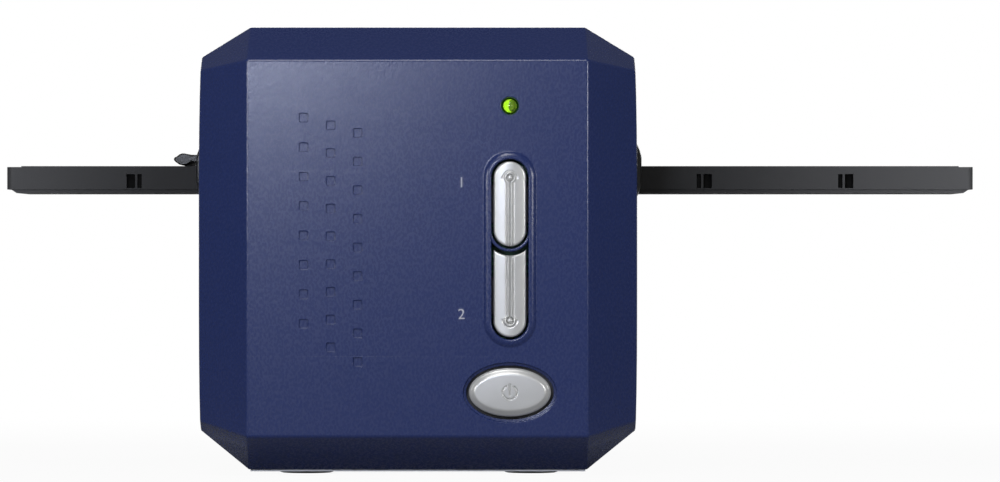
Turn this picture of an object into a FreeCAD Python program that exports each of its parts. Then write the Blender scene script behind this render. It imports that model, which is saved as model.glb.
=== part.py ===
import FreeCAD, Part
import math
import os
import Sketcher
from types import SimpleNamespace
from FreeCAD import Placement, Rotation, Vector

# Film negative scanner. The front faces -Y, +X is to the right as seen from the front, and the
# origin lies on the desk under the middle of the body. All lengths are in millimetres.

os.makedirs("parts", exist_ok=True)
doc = FreeCAD.newDocument("FilmScanner")

SIZES = {
    # Housing
    "body_depth": 272.0,
    "housing_top": 118.5,
    "housing_bottom": 1.6,
    "side_half": 58.0,
    "top_bevel": 13.8,
    "bottom_bevel": 13.3,
    "side_top_in": 7.8,
    "side_bottom_in": 10.3,
    "bevel_depth": 14.0,
    "face_bevel": 13.2,
    "face_top_in": 8.9,
    "face_bottom_in": 8.9,
    "corner_top_in": 11.4,
    "corner_bottom_in": 12.7,
    "wall": 2.2,
    "cover_depth": 22.0,
    "seam_gap": 0.15,
    "lip_fit": 0.1,
    "lip_thick": 1.2,
    "lip_long": 7.0,
    "lip_root": 4.0,
    # Base plate, feet and screws
    "plate_side_in": 0.4,
    "plate_end_in": 14.5,
    "plate_bottom": 1.06,
    "plate_thick": 2.5,
    "plate_gap": 0.2,
    "foot_radius": 7.75,
    "foot_sole_radius": 6.2,
    "foot_side_in": 14.3,
    "foot_end_in": 24.0,
    "foot_plug_radius": 2.5,
    "screw_radius": 1.4,
    "screw_head_radius": 2.6,
    "screw_head_tall": 1.2,
    "head_gap": 0.3,
    "screw_end_gap": 1.0,
    "housing_boss_in": 3.3,
    "housing_boss_y": 52.0,
    "housing_boss_top": 7.6,
    "cover_boss_side_in": 16.3,
    "cover_boss_end_in": 3.5,
    "cover_boss_top": 10.0,
    "boss_reach": 8.8,
    "boss_half": 4.0,
    "boss_gap": 0.5,
    "chassis_boss_x": 8.0,
    "chassis_boss_in": 20.0,
    "chassis_boss_radius": 4.0,
    # Front panel
    "button_side_in": 20.5,
    "panel_gap": 0.6,
    "scan_low_z": 41.0,
    "scan_mid_z": 64.85,
    "scan_high_z": 78.65,
    "scan_half": 4.25,
    "web_radius": 5.65,
    "scan_lower_notch": 6.65,
    "rim_radius": 6.8,
    "rim_height": 0.8,
    "button_proud": 1.2,
    "button_travel": 0.5,
    "flange_lip": 0.8,
    "flange_thick": 1.2,
    "flange_gap": 0.3,
    "power_z": 21.3,
    "power_half_wide": 10.9,
    "power_half_tall": 6.5,
    "power_dish": 0.75,
    "power_dish_depth": 0.8,
    "lamp_top_in": 21.0,
    "lamp_hole_radius": 2.25,
    "status_lamp_radius": 1.75,
    "square_side": 2.3,
    "square_deep": 0.4,
    "square_pitch": 7.1,
    "square_side_in": 14.9,
    "square_top_in": 24.1,
    "square_stagger": 2.0,
    "square_step_outer": 7.73,
    "square_step_middle": 7.29,
    "square_step_inner": 7.52,
    "square_count_outer": 8,
    "square_count": 9,
    # Button board
    "button_board_in": 10.5,
    "board_thick": 1.6,
    "button_board_half": 12.3,
    "button_board_low": 14.0,
    "button_board_high": 102.0,
    "board_post_x": 9.8,
    "board_post_low": 34.0,
    "board_post_high": 91.0,
    "board_post_radius": 2.2,
    "switch_half": 3.0,
    "switch_deep": 3.5,
    "plunger_radius": 1.7,
    "plunger_proud": 1.0,
    "plunger_in": 1.6,
    "shaft_gap": 0.05,
    "small_gap": 0.1,
    # Film holder
    "frame_pitch": 38.0,
    "frame_count": 6,
    "window_long": 36.0,
    "window_wide": 24.0,
    "holder_long": 259.6,
    "holder_wide": 57.5,
    "holder_in": 74.25,
    "holder_low": 74.87,
    "holder_sole": 0.98,
    "holder_tall": 7.01,
    "holder_corner": 1.5,
    "foot_inset": 1.1,
    "foot_slope": 1.5,
    "foot_side_inset": 0.5,
    "film_up": 3.33,
    "film_gap": 0.4,
    "lid_end": 3.7,
    "lid_side": 2.8,
    "lid_proud": 0.27,
    "lid_fit": 0.25,
    "notch_up": 1.33,
    "notch_tall": 3.8,
    "notch_deep": 1.7,
    "notch_slot_deep": 0.9,
    "notch_near": 0.35,
    "notch_wide": 2.3,
    "notch_ridge": 0.6,
    "notch_slot_wide": 1.2,
    "frames_left": 2,
    "lid_pin_radius": 0.6,
    "lid_pin_long": 5.0,
    "lid_pin_in": 1.32,
    "lid_pin_down": 1.56,
    "latch_up": 1.0,
    "latch_thick": 1.5,
    "latch_reach": 1.0,
    "latch_half": 3.5,
    "run_gap": 0.3,
    # Slot bezels and dust flaps
    "bezel_end": 8.75,
    "bezel_under": 2.2,
    "bezel_over": 3.5,
    "bezel_proud": 3.0,
    "bezel_curve": 15.5,
    "bezel_corner": 6.0,
    "spigot_inset": 1.0,
    "spigot_deep": 4.0,
    "throat_side": 0.7,
    "throat_under": 0.67,
    "throat_over": 4.35,
    "flap_hinge_in": 0.2,
    "flap_hinge_down": 2.2,
    "flap_reach": 9.2,
    "flap_thick": 2.0,
    "flap_barrel": 1.35,
    "flap_bulb": 1.75,
    "flap_tip": 1.0,
    "flap_tip_drop": 0.4,
    "flap_bulb_back": 1.4,
    "flap_neck_front": 1.0,
    "flap_neck_back": 1.8,
    "flap_drop": 0.1,
    "flap_end_gap": 0.4,
    "flap_pin_radius": 0.75,
    "flap_pin_in": 2.2,
    # Chassis and film rails
    "chassis_low": 6.0,
    "sheet": 2.0,
    "chassis_flare": 9.0,
    "chassis_side_gap": 2.3,
    "chassis_bend": 13.5,
    "bend_rise": 0.9,
    "bend_run": 0.7,
    "chassis_front_in": 36.0,
    "chassis_rear_in": 24.0,
    "flange_behind": 7.0,
    "rail_floor": 4.5,
    "rail_wall": 3.2,
    "rail_lip": 2.2,
    "rail_lip_thick": 1.4,
    "nose_way_half": 3.0,
    "nose_way_under": 0.6,
    "nose_way_over": 0.4,
    "spring_half": 15.0,
    "rail_under": 2.2,
    "rail_end_in": 6.0,
    "mask_thick": 1.0,
    "mask_margin": 2.0,
    "mask_side_gap": 1.0,
    "mask_end_gap": 0.5,
    # Scan carriage
    "carriage_side": 10.0,
    "carriage_before": 10.25,
    "carriage_gap": 3.0,
    "carriage_low": 30.0,
    "carriage_high": 66.0,
    "carriage_wall": 2.0,
    "carriage_lid_thick": 1.5,
    "scan_spare": 2.0,
    "optic_z": 47.0,
    "slit_spare": 1.0,
    "slit_wide": 5.5,
    "mirror_side": 1.0,
    "mirror_long": 21.0,
    "mirror_thick": 2.0,
    "lens_radius": 10.0,
    "lens_before": 48.0,
    "lens_long": 22.0,
    "saddle_side": 2.0,
    "saddle_in": 4.0,
    "glass_in": 1.0,
    "glass_radius": 8.0,
    "glass_thick": 4.0,
    "glass_curve": 22.0,
    "sensor_in": 6.0,
    "sensor_side": 1.0,
    "sensor_deep": 3.2,
    "sensor_tall_half": 4.0,
    "sensor_board_up": 2.0,
    "sensor_board_down": 4.0,
    "rod_in": 9.5,
    "rod_z": 40.0,
    "rod_radius": 3.0,
    "bush_radius": 5.0,
    "lug_margin": 2.5,
    "lug_trim": 0.5,
    "lug_front_in": 24.0,
    "lug_rear_in": 16.0,
    "lug_half": 6.0,
    "rod_spare": 10.0,
    "holder_block": 6.0,
    "block_out": 1.5,
    "block_in": 5.0,
    "rail_end_gap": 1.0,
    "rail_in": 8.8,
    "rail_half": 3.0,
    "rail_top": 33.0,
    "rail_thick": 3.0,
    "arm_thick": 5.0,
    "post_behind": 4.5,
    "post_thick": 4.0,
    "lamp_spare": 6.0,
    "lamp_low": 88.0,
    "lamp_high": 100.0,
    "lamp_hood_half": 5.0,
    "hood_wall": 1.4,
    "hood_roof": 3.0,
    "diffuser_thick": 1.0,
    "lamp_radius": 1.5,
    "lamp_tube_z": 92.0,
    # Drive
    "drive_in": 18.0,
    "drive_z": 24.0,
    "idler_in": 12.0,
    "belt_in": 4.7,
    "belt_half": 2.0,
    "belt_inner": 6.0,
    "belt_thick": 1.2,
    "belt_gap": 0.3,
    "clamp_wall": 1.5,
    "gear_gap": 0.6,
    "pulley_side_gap": 0.4,
    "pin_end": 1.2,
    "pulley_rim": 0.8,
    "pulley_flange": 0.5,
    "gear_module": 0.7,
    "gear_teeth": 40,
    "pinion_teeth": 12,
    "gear_face": 3.0,
    "bracket_in": 8.8,
    "bracket_thick": 2.0,
    "bracket_margin": 1.5,
    "motor_radius": 17.5,
    "motor_long": 22.0,
    "shaft_in": 2.0,
    "motor_bore_end": 0.5,
    "bracket_over": 1.0,
    "idler_plate_over": 2.0,
    "motor_nose_radius": 5.0,
    "motor_shaft_radius": 1.5,
    "gear_pin_radius": 2.0,
    "idler_pin_radius": 1.5,
    "idler_plate_in": 5.2,
    # Main board and sockets
    "main_board_in": 18.0,
    "main_board_side_in": 8.0,
    "main_board_wide": 73.0,
    "main_board_low": 12.0,
    "main_board_high": 74.0,
    "tab_wide": 10.0,
    "tab_in": 6.0,
    "board_screw_up": 7.0,
    "board_screw_down": 6.0,
    "tab_right": 2.0,
    "spacer_radius": 3.0,
    "chip_side": 20.0,
    "chip_in": 16.0,
    "chip_up": 34.0,
    "chip_tall": 1.8,
    "plug_room": 6.0,
    "can_radius": 4.0,
    "can_tall": 11.0,
    "can_in": 22.0,
    "can_pitch": 10.0,
    "can_up": 22.0,
    "small_chip_side": 7.0,
    "small_chip_in": 40.0,
    "small_chip_up": 18.0,
    "small_chip_tall": 1.6,
    "socket_low": 25.0,
    "socket_tall": 11.0,
    "usb_x": -20.0,
    "usb_wide": 12.0,
    "usb_mouth_wide": 8.5,
    "usb_mouth_tall": 7.8,
    "usb_mouth_deep": 11.0,
    "tongue_wide": 5.6,
    "tongue_tall": 3.2,
    "tongue_in": 1.5,
    "jack_x": 0.5,
    "jack_wide": 9.0,
    "jack_bore_radius": 3.15,
    "jack_bore_deep": 10.0,
    "jack_pin_radius": 1.0,
    "jack_pin_in": 1.0,
    "ribbon_x": 18.0,
    "ribbon_half": 4.0,
    "ribbon_thick": 0.8,
    "ribbon_z": 4.7,
    "ribbon_bend": 1.6,
    "ribbon_lead": 3.5,
    "ribbon_up": 3.0,
    "plug_side": 1.0,
    "plug_deep": 2.5,
    "plug_up": 1.0,
    "plug_tall": 5.0,
    "flat_cable_x": -20.0,
    "flat_cable_half": 6.0,
    "flat_cable_thick": 0.3,
    "flat_cable_lead": 0.8,
    "flat_cable_bend": 2.5,
    "flat_cable_drop": 9.0,
    "flat_cable_turn_y": 0.0,
    "flat_cable_up": 3.0,
    "flat_cable_over_floor": 0.8,
    "flat_cable_end": 6.0,
    "cable_way_side": 0.5,
    "cable_way_half": 0.7,
}

sheet = doc.addObject("Spreadsheet::Sheet", "Sizes")
for row, (name, value) in enumerate(SIZES.items(), start=1):
    sheet.set(f"A{row}", name)
    sheet.set(f"B{row}", str(value))
    sheet.setAlias(f"B{row}", name)
doc.recompute()


class Size:
    """A length with the formula that gives it, so that shapes can be bound to the sheet."""

    def __init__(self, value, text):
        self.value = float(value)
        self.text = text

    def __add__(self, other):
        other = as_size(other)
        return Size(self.value + other.value, f"({self.text} + {other.text})")

    def __sub__(self, other):
        other = as_size(other)
        return Size(self.value - other.value, f"({self.text} - {other.text})")

    def __mul__(self, other):
        other = as_size(other)
        return Size(self.value * other.value, f"({self.text} * {other.text})")

    def __truediv__(self, other):
        other = as_size(other)
        return Size(self.value / other.value, f"({self.text} / {other.text})")

    def __neg__(self):
        return Size(-self.value, f"(-1 * {self.text})")

    def __radd__(self, other):
        return as_size(other) + self

    def __rsub__(self, other):
        return as_size(other) - self

    def __rmul__(self, other):
        return as_size(other) * self


def as_size(value):
    """Gives a plain number the form of a size."""
    if isinstance(value, Size):
        return value
    return Size(value, repr(float(value)))


s = SimpleNamespace(**{name: Size(float(sheet.get(name)), "Sizes." + name) for name in SIZES})

# How far a cutting tool passes the face that it cuts
OVER = 1.0
# Shares of a gear's module: depth below and height above the pitch circle, half of a tooth's foot
# and crown, and how deep the foot is sunk in the rim
GEAR_ROOT, GEAR_TIP, GEAR_FOOT, GEAR_CROWN, GEAR_SINK = 1.1, 0.8, 0.95, 0.36, 0.3
TURNS = {"x": Rotation(Vector(0, 1, 0), 90), "y": Rotation(Vector(1, 0, 0), -90), "z": Rotation()}
nodes = {}


def bind(thing, prop, size):
    thing.setExpression(prop, as_size(size).text)


def locate(thing, x, y, z):
    for axis, size in zip("xyz", (x, y, z)):
        bind(thing, f".Placement.Base.{axis}", size)


def node(name, thing):
    """Names a finished piece."""
    thing.Label = name
    nodes[name] = thing
    return thing


def span(middle, half):
    return (middle - half, middle + half)


def box(x, y, z):
    """A block between two x, two y and two z values."""
    block = doc.addObject("Part::Box", "block")
    for prop, (low, high) in zip(("Length", "Width", "Height"), (x, y, z)):
        bind(block, prop, as_size(high) - low)
    locate(block, x[0], y[0], z[0])
    return block


def rod(axis, first, second, along, radius):
    """A round bar along one axis; first and second place it on the other two, in x, y, z order."""
    bar = doc.addObject("Part::Cylinder", "bar")
    bar.Placement = Placement(Vector(), TURNS[axis])
    bind(bar, "Radius", radius)
    bind(bar, "Height", as_size(along[1]) - along[0])
    spots = [first, second]
    spots.insert("xyz".index(axis), along[0])
    locate(bar, *spots)
    return bar


def fuse(*things):
    whole = doc.addObject("Part::MultiFuse", "joined")
    whole.Shapes = list(things)
    return whole


def group(*things):
    """Several separate solids that are one piece in the list."""
    several = doc.addObject("Part::Compound", "several")
    several.Links = list(things)
    return several


def cut(base, *tools):
    result = doc.addObject("Part::Cut", "trimmed")
    result.Base = base
    result.Tool = tools[0] if len(tools) == 1 else fuse(*tools)
    return result


def common(first, second):
    result = doc.addObject("Part::Common", "kept")
    result.Base = first
    result.Tool = second
    return result


def solid(name, shape):
    """A piece of the model that is worked out from the sheet's values directly."""
    thing = doc.addObject("Part::Feature", name)
    thing.Shape = shape
    thing.Placement = Placement()
    return thing


def stadium(x, low_z, high_z, y, radius):
    """An upright long hole or bar with round ends, through the front panel."""
    return fuse(
        box(span(x, radius), y, (low_z, high_z)),
        rod("y", x, low_z, y, radius),
        rod("y", x, high_z, y, radius),
    )


def oval(x, z, y, half_wide, half_tall):
    """An elliptic bar along Y."""
    curve = doc.addObject("Part::Ellipse", "oval_curve")
    curve.Placement = Placement(Vector(), Rotation(Vector(1, 0, 0), 90))
    bind(curve, "MajorRadius", half_wide)
    bind(curve, "MinorRadius", half_tall)
    locate(curve, x, y[0], z)
    bar = doc.addObject("Part::Extrusion", "oval_bar")
    bar.Base = curve
    bar.DirMode = "Custom"
    bar.Dir = Vector(0, 1, 0)
    bar.Solid = True
    bind(bar, "LengthFwd", as_size(y[1]) - y[0])
    return bar


PLANES = {"x": ("YZ_Plane", 1, False), "y": ("XZ_Plane", -1, True), "z": ("XY_Plane", 1, False)}


def sketch(body, axis, outline, start):
    """A closed outline across one axis, with every corner bound to the sheet."""
    plane_name, side, _ = PLANES[axis]
    plane = next(f for f in body.Origin.OriginFeatures if f.Role == plane_name)
    drawing = body.newObject("Sketcher::SketchObject", "outline")
    drawing.AttachmentSupport = [(plane, "")]
    drawing.MapMode = "FlatFace"
    bind(drawing, "AttachmentOffset.Base.z", as_size(start) * side)
    corners = [(as_size(u), as_size(v)) for u, v in outline]
    count = len(corners)
    spots = [Vector(u.value, v.value, 0) for u, v in corners]
    edges = [Part.LineSegment(spots[i], spots[(i + 1) % count]) for i in range(count)]
    drawing.addGeometry(edges, False)
    for i in range(count):
        drawing.addConstraint(Sketcher.Constraint("Coincident", i, 2, (i + 1) % count, 1))
    for i, corner in enumerate(corners):
        for kind, size in zip(("DistanceX", "DistanceY"), corner):
            index = drawing.addConstraint(Sketcher.Constraint(kind, -1, 1, i, 1, size.value))
            bind(drawing, f"Constraints[{index}]", size)
    return drawing


def pad(body, axis, outline, along):
    """A prism of an outline along one axis."""
    block = body.newObject("PartDesign::Pad", "prism")
    block.Profile = sketch(body, axis, outline, along[0])
    block.Reversed = PLANES[axis][2]
    bind(block, "Length", as_size(along[1]) - along[0])
    return block


def pocket(body, axis, outline, along):
    """An outline cut out of a body along one axis."""
    before = body.Shape.Volume
    hollow = body.newObject("PartDesign::Pocket", "hollow")
    hollow.Profile = sketch(body, axis, outline, along[0])
    hollow.Reversed = not PLANES[axis][2]
    bind(hollow, "Length", as_size(along[1]) - along[0])
    doc.recompute()
    assert body.Shape.Volume < before - 0.001, "a pocket cuts nothing"
    return hollow


def rectangle(u, v):
    return [(u[0], v[0]), (u[1], v[0]), (u[1], v[1]), (u[0], v[1])]


def new_body(name):
    return doc.addObject("PartDesign::Body", name)


def upright_edges(feature, direction):
    """Names of a feature's straight edges that run along a direction."""
    names = []
    for index, edge in enumerate(feature.Shape.Edges, start=1):
        run = edge.Vertexes[-1].Point - edge.Vertexes[0].Point
        if run.Length > 1e-6 and abs(abs(run.normalize().dot(direction)) - 1) < 1e-6:
            names.append(f"Edge{index}")
    return names


def round_corners(body, feature, direction, radius):
    """Rounds the corners of a prism that run along a direction."""
    doc.recompute()
    rounding = body.newObject("PartDesign::Fillet", "rounding")
    rounding.Base = (feature, upright_edges(feature, direction))
    bind(rounding, "Radius", radius)
    return rounding


# Places that several pieces share
half_depth = s.body_depth / 2
shoulder = half_depth - s.bevel_depth
seam = half_depth - s.cover_depth
face_y = -half_depth
top_half = s.side_half - s.top_bevel
bottom_half = s.side_half - s.bottom_bevel
face_half = s.side_half - s.face_bevel
side_top = s.housing_top - s.side_top_in
face_top = s.housing_top - s.face_top_in
corner_top = s.housing_top - s.corner_top_in
side_bottom = s.housing_bottom + s.side_bottom_in
face_bottom = s.housing_bottom + s.face_bottom_in
corner_bottom = s.housing_bottom + s.corner_bottom_in
plate_half = bottom_half - s.plate_side_in
plate_half_long = half_depth - s.plate_end_in
foot_x = plate_half - s.foot_side_in
foot_y = plate_half_long - s.foot_end_in
housing_boss_x = plate_half - s.housing_boss_in
cover_boss_x = plate_half - s.cover_boss_side_in
cover_boss_y = plate_half_long - s.cover_boss_end_in
button_x = face_half - s.button_side_in
square_first_x = s.square_side_in - face_half
lamp_z = s.housing_top - s.lamp_top_in
inner_face_y = face_y + s.wall
plate_top = s.plate_bottom + s.plate_thick
chassis_floor = s.chassis_low + s.sheet
holder_mid_y = face_y + s.holder_in
holder_step = s.holder_low + s.holder_sole
holder_top = s.holder_low + s.holder_tall
film_floor = s.holder_low + s.film_up
notch_low = s.holder_low + s.notch_up
notch_high = notch_low + s.notch_tall
holder_front = holder_mid_y - s.holder_wide / 2
holder_rear = holder_mid_y + s.holder_wide / 2
holder_mid_x = s.frame_pitch / 2
holder_left = holder_mid_x - s.holder_long / 2
holder_right = holder_mid_x + s.holder_long / 2
lid_top = holder_top + s.lid_proud
lid_low = film_floor + s.film_gap
rail_floor_top = s.holder_low - s.run_gap
rail_bottom = rail_floor_top - s.rail_under
throat_low = s.holder_low - s.throat_under
throat_high = lid_top + s.throat_over
bezel_half_long = s.holder_wide / 2 + s.bezel_end
bezel_low = throat_low - s.bezel_under
bezel_high = throat_high + s.bezel_over
bezel_crest = s.side_half + s.bezel_proud
flap_hinge_x = s.side_half - s.flap_hinge_in
flap_hinge_z = throat_high - s.flap_hinge_down
chassis_half = s.side_half - s.wall - s.chassis_side_gap
chassis_floor_half = chassis_half - s.chassis_flare
chassis_inner = chassis_half - s.sheet
chassis_front = face_y + s.chassis_front_in
chassis_rear = half_depth - s.chassis_rear_in
chassis_boss_y = -chassis_front - s.chassis_boss_in
flange_rear = holder_rear + s.flange_behind
rail_upper_half = chassis_half - s.rail_end_in
belt_x = chassis_inner - s.belt_in
bracket_x = belt_x - s.bracket_in
idler_plate_x = belt_x - s.idler_plate_in
idler_y = chassis_front + s.idler_in
drive_y = chassis_rear - s.drive_in
bracket_half = s.motor_radius + s.bracket_margin
slit_half = s.window_long / 2 + s.slit_spare
mirror_half = slit_half + s.mirror_side
lamp_half = s.window_long / 2 + s.lamp_spare
carriage_half = mirror_half + s.carriage_side
scan_line_y = holder_mid_y - s.window_wide / 2
scan_travel = s.window_wide + s.scan_spare
carriage_front = scan_line_y - s.carriage_before
carriage_rear = drive_y - bracket_half - scan_travel - s.carriage_gap
sensor_y = carriage_rear - s.sensor_in
lens_front = sensor_y - s.lens_before
post_front = holder_rear + s.post_behind
rod_x = s.rod_in - chassis_inner
rail_x = belt_x - s.rail_in
lug_front_y = carriage_front + s.lug_front_in
lug_rear_y = carriage_rear - s.lug_rear_in
rod_end = lug_rear_y + s.lug_half + scan_travel + s.holder_block + s.rod_spare
main_board_y = half_depth - s.main_board_in
main_board_left = s.main_board_side_in - s.side_half
main_board_right = main_board_left + s.main_board_wide
board_front_y = face_y + s.button_board_in
board_back_y = board_front_y + s.board_thick
switch_front_y = board_front_y - s.switch_deep
plunger_tip_y = switch_front_y - s.plunger_proud
frame_centres = [(i - s.frames_left) * s.frame_pitch for i in range(int(s.frame_count.value))]


def outer_faces():
    """Three points of each face of the housing's front right quarter."""
    top, bottom = s.housing_top.value, s.housing_bottom.value
    side, depth, ledge = s.side_half.value, half_depth.value, shoulder.value
    face, shelf, sole = face_half.value, top_half.value, bottom_half.value
    high, low = face_top.value, face_bottom.value
    return [
        [(0, 0, top), (1, 0, top), (0, 1, top)],
        [(0, 0, bottom), (1, 0, bottom), (0, 1, bottom)],
        [(side, 0, 0), (side, 1, 0), (side, 0, 1)],
        [(0, -depth, 0), (1, -depth, 0), (0, -depth, 1)],
        [(shelf, 0, top), (side, 0, side_top.value), (shelf, 1, top)],
        [(sole, 0, bottom), (side, 0, side_bottom.value), (sole, 1, bottom)],
        [(0, -depth, high), (1, -depth, high), (0, -ledge, top)],
        [(0, -depth, low), (1, -depth, low), (0, -ledge, bottom)],
        [(face, -depth, 0), (face, -depth, 1), (side, -ledge, 0)],
        [(face, -depth, high), (shelf, -ledge, top), (side, -ledge, corner_top.value)],
        [(face, -depth, low), (sole, -ledge, bottom), (side, -ledge, corner_bottom.value)],
    ]


def housing_blank(inset):
    """The closed faceted form of the housing, with every face moved inwards by an inset."""
    middle = Vector(0, 0, (s.housing_top.value + s.housing_bottom.value) / 2)
    big = 4 * s.body_depth.value
    form = Part.makeBox(big, big, big, Vector(-big / 2, -big / 2, -big / 2))
    for corners in outer_faces():
        for mirror_x in (1, -1):
            for mirror_y in (1, -1):
                a, b, c = [Vector(x * mirror_x, y * mirror_y, z) for x, y, z in corners]
                outward = (b - a).cross(c - a).normalize()
                if outward.dot(a - middle) < 0:
                    outward = -outward
                if outward.x * mirror_x < -1e-9 or outward.y * mirror_y > 1e-9:
                    continue
                outside = Part.makeBox(big, big, big, Vector(-big / 2, -big / 2, 0))
                turn = Rotation(Vector(0, 0, 1), outward)
                outside.Placement = Placement(a - outward * inset, turn)
                form = form.cut(outside)
    return form


wall_inset = s.wall.value
lip_inset = wall_inset + s.lip_fit.value
outer_blank = solid("outer_form", housing_blank(0.0))
inner_blank = solid("inner_form", housing_blank(wall_inset))
lip_blank = solid("lip_form", housing_blank(lip_inset))
lip_inner_blank = solid("lip_inner_form", housing_blank(lip_inset + s.lip_thick.value))
skin = cut(outer_blank, inner_blank)
wide = span(as_size(0), s.body_depth)
base_opening = box(
    span(as_size(0), plate_half + s.plate_gap),
    span(as_size(0), plate_half_long + s.plate_gap),
    (-s.wall, plate_top + s.wall),
)


def cover_shell(side):
    """The skin of the front or rear cover with the lip that enters the middle housing."""
    def ordered(a, b):
        return (a, b) if side > 0 else (-b, -a)

    skin_part = common(skin, box(wide, ordered(seam, half_depth + s.wall), wide))
    root_ring = common(
        cut(inner_blank, lip_inner_blank), box(wide, ordered(seam, seam + s.lip_root), wide)
    )
    free_ring = common(
        cut(lip_blank, lip_inner_blank), box(wide, ordered(seam - s.lip_long, seam), wide)
    )
    return cut(fuse(skin_part, root_ring, free_ring), base_opening)


def screw_boss(x, y, top, inward):
    """A square boss that stands on the base plate and meets the shell beside it."""
    block = box(
        (x - s.boss_half, x + s.boss_half + inward[0]) if x.value > 0
        else (x - s.boss_half - inward[0], x + s.boss_half),
        (y - s.boss_half, y + s.boss_half + inward[1]) if y.value > 0
        else (y - s.boss_half - inward[1], y + s.boss_half),
        (plate_top, top),
    )
    return common(block, outer_blank)


housing_boss_spots = [
    (side * housing_boss_x, end * s.housing_boss_y) for side in (-1, 1) for end in (-1, 1)
]
cover_boss_spots = {
    end: [(side * cover_boss_x, end * cover_boss_y) for side in (-1, 1)] for end in (-1, 1)
}


def screw_holes(spots, top):
    return [rod("z", x, y, (plate_top, top - s.screw_end_gap), s.screw_radius) for x, y in spots]


def square_recesses():
    """Small square recesses in three columns, the outer one a square shorter."""
    blocks = []
    columns = [
        (s.square_count_outer, s.square_step_outer), (s.square_count, s.square_step_middle),
        (s.square_count, s.square_step_inner),
    ]
    for column, (count, step) in enumerate(columns):
        x = square_first_x + column * s.square_pitch
        top = s.housing_top - s.square_top_in - column * s.square_stagger
        for i in range(int(count.value)):
            blocks.append(box(
                span(x, s.square_side / 2), (face_y - OVER, face_y + s.square_deep),
                span(top - i * step, s.square_side / 2),
            ))
    return blocks


def front_cover():
    rim_y = (face_y - s.rim_height, face_y + s.wall / 2)
    rim = stadium(button_x, s.scan_low_z, s.scan_high_z, rim_y, s.rim_radius)
    hole_y = (face_y - s.rim_height - OVER, inner_face_y + OVER)
    hole_radius = s.scan_half + s.panel_gap
    upper_hole = stadium(button_x, s.scan_mid_z, s.scan_high_z, hole_y, hole_radius)
    lower_hole = cut(
        stadium(button_x, s.scan_low_z, s.scan_mid_z, hole_y, hole_radius),
        rod("y", button_x, s.scan_mid_z, hole_y, s.web_radius),
    )
    web_trim = box(
        span(button_x, hole_radius + s.small_gap), (hole_y[0], face_y),
        (s.scan_mid_z - s.web_radius, s.scan_mid_z),
    )
    dish = oval(
        button_x, s.power_z, (face_y - OVER, face_y + s.power_dish_depth),
        s.power_half_wide + s.panel_gap + s.power_dish,
        s.power_half_tall + s.panel_gap + s.power_dish,
    )
    power_hole = oval(
        button_x, s.power_z, hole_y, s.power_half_wide + s.panel_gap,
        s.power_half_tall + s.panel_gap,
    )
    lamp_hole = rod("y", button_x, lamp_z, hole_y, s.lamp_hole_radius)
    posts = [
        rod("y", x, z, (inner_face_y - s.wall / 2, board_front_y), s.board_post_radius)
        for x, z in board_post_spots
    ]
    post_holes = [
        rod("y", x, z, (board_front_y - s.boss_half, board_front_y), s.screw_radius)
        for x, z in board_post_spots
    ]
    bosses = [screw_boss(x, y, s.cover_boss_top, (0, s.cover_depth)) for x, y in cover_boss_spots[-1]]
    shell = fuse(cover_shell(-1), rim, *posts, *bosses)
    return node("front_cover", cut(
        shell, upper_hole, lower_hole, web_trim, dish, power_hole, lamp_hole, *post_holes,
        *screw_holes(cover_boss_spots[-1], s.cover_boss_top), *square_recesses(),
    ))


def main_housing():
    sleeve = common(skin, box(wide, span(as_size(0), seam - s.seam_gap), wide))
    bosses = [screw_boss(x, y, s.housing_boss_top, (s.boss_reach, 0)) for x, y in housing_boss_spots]
    side_hole = box(
        wide,
        span(holder_mid_y, bezel_half_long - s.spigot_inset + s.small_gap),
        (bezel_low + s.spigot_inset - s.small_gap, bezel_high - s.spigot_inset + s.small_gap),
    )
    return node("main_housing", cut(
        fuse(cut(sleeve, base_opening), *bosses), side_hole,
        *screw_holes(housing_boss_spots, s.housing_boss_top),
    ))


def rear_cover():
    bosses = [screw_boss(x, y, s.cover_boss_top, (0, s.cover_depth)) for x, y in cover_boss_spots[1]]
    socket_z = (s.socket_low - s.small_gap, s.socket_low + s.socket_tall + s.small_gap)
    through = (half_depth - s.wall - OVER, half_depth + OVER)
    socket_holes = [
        box(span(x, width / 2 + s.small_gap), through, socket_z)
        for x, width in ((s.usb_x, s.usb_wide), (s.jack_x, s.jack_wide))
    ]
    return node("rear_cover", cut(
        fuse(cover_shell(1), *bosses), *socket_holes,
        *screw_holes(cover_boss_spots[1], s.cover_boss_top),
    ))


foot_spots = [(side * foot_x, end * foot_y) for side in (-1, 1) for end in (-1, 1)]
chassis_screw_spots = [
    (side * s.chassis_boss_x, end * chassis_boss_y) for side in (-1, 1) for end in (-1, 1)
]
all_base_screws = (
    [(x, y, s.housing_boss_top) for x, y in housing_boss_spots]
    + [(x, y, s.cover_boss_top) for end in (-1, 1) for x, y in cover_boss_spots[end]]
)


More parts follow.
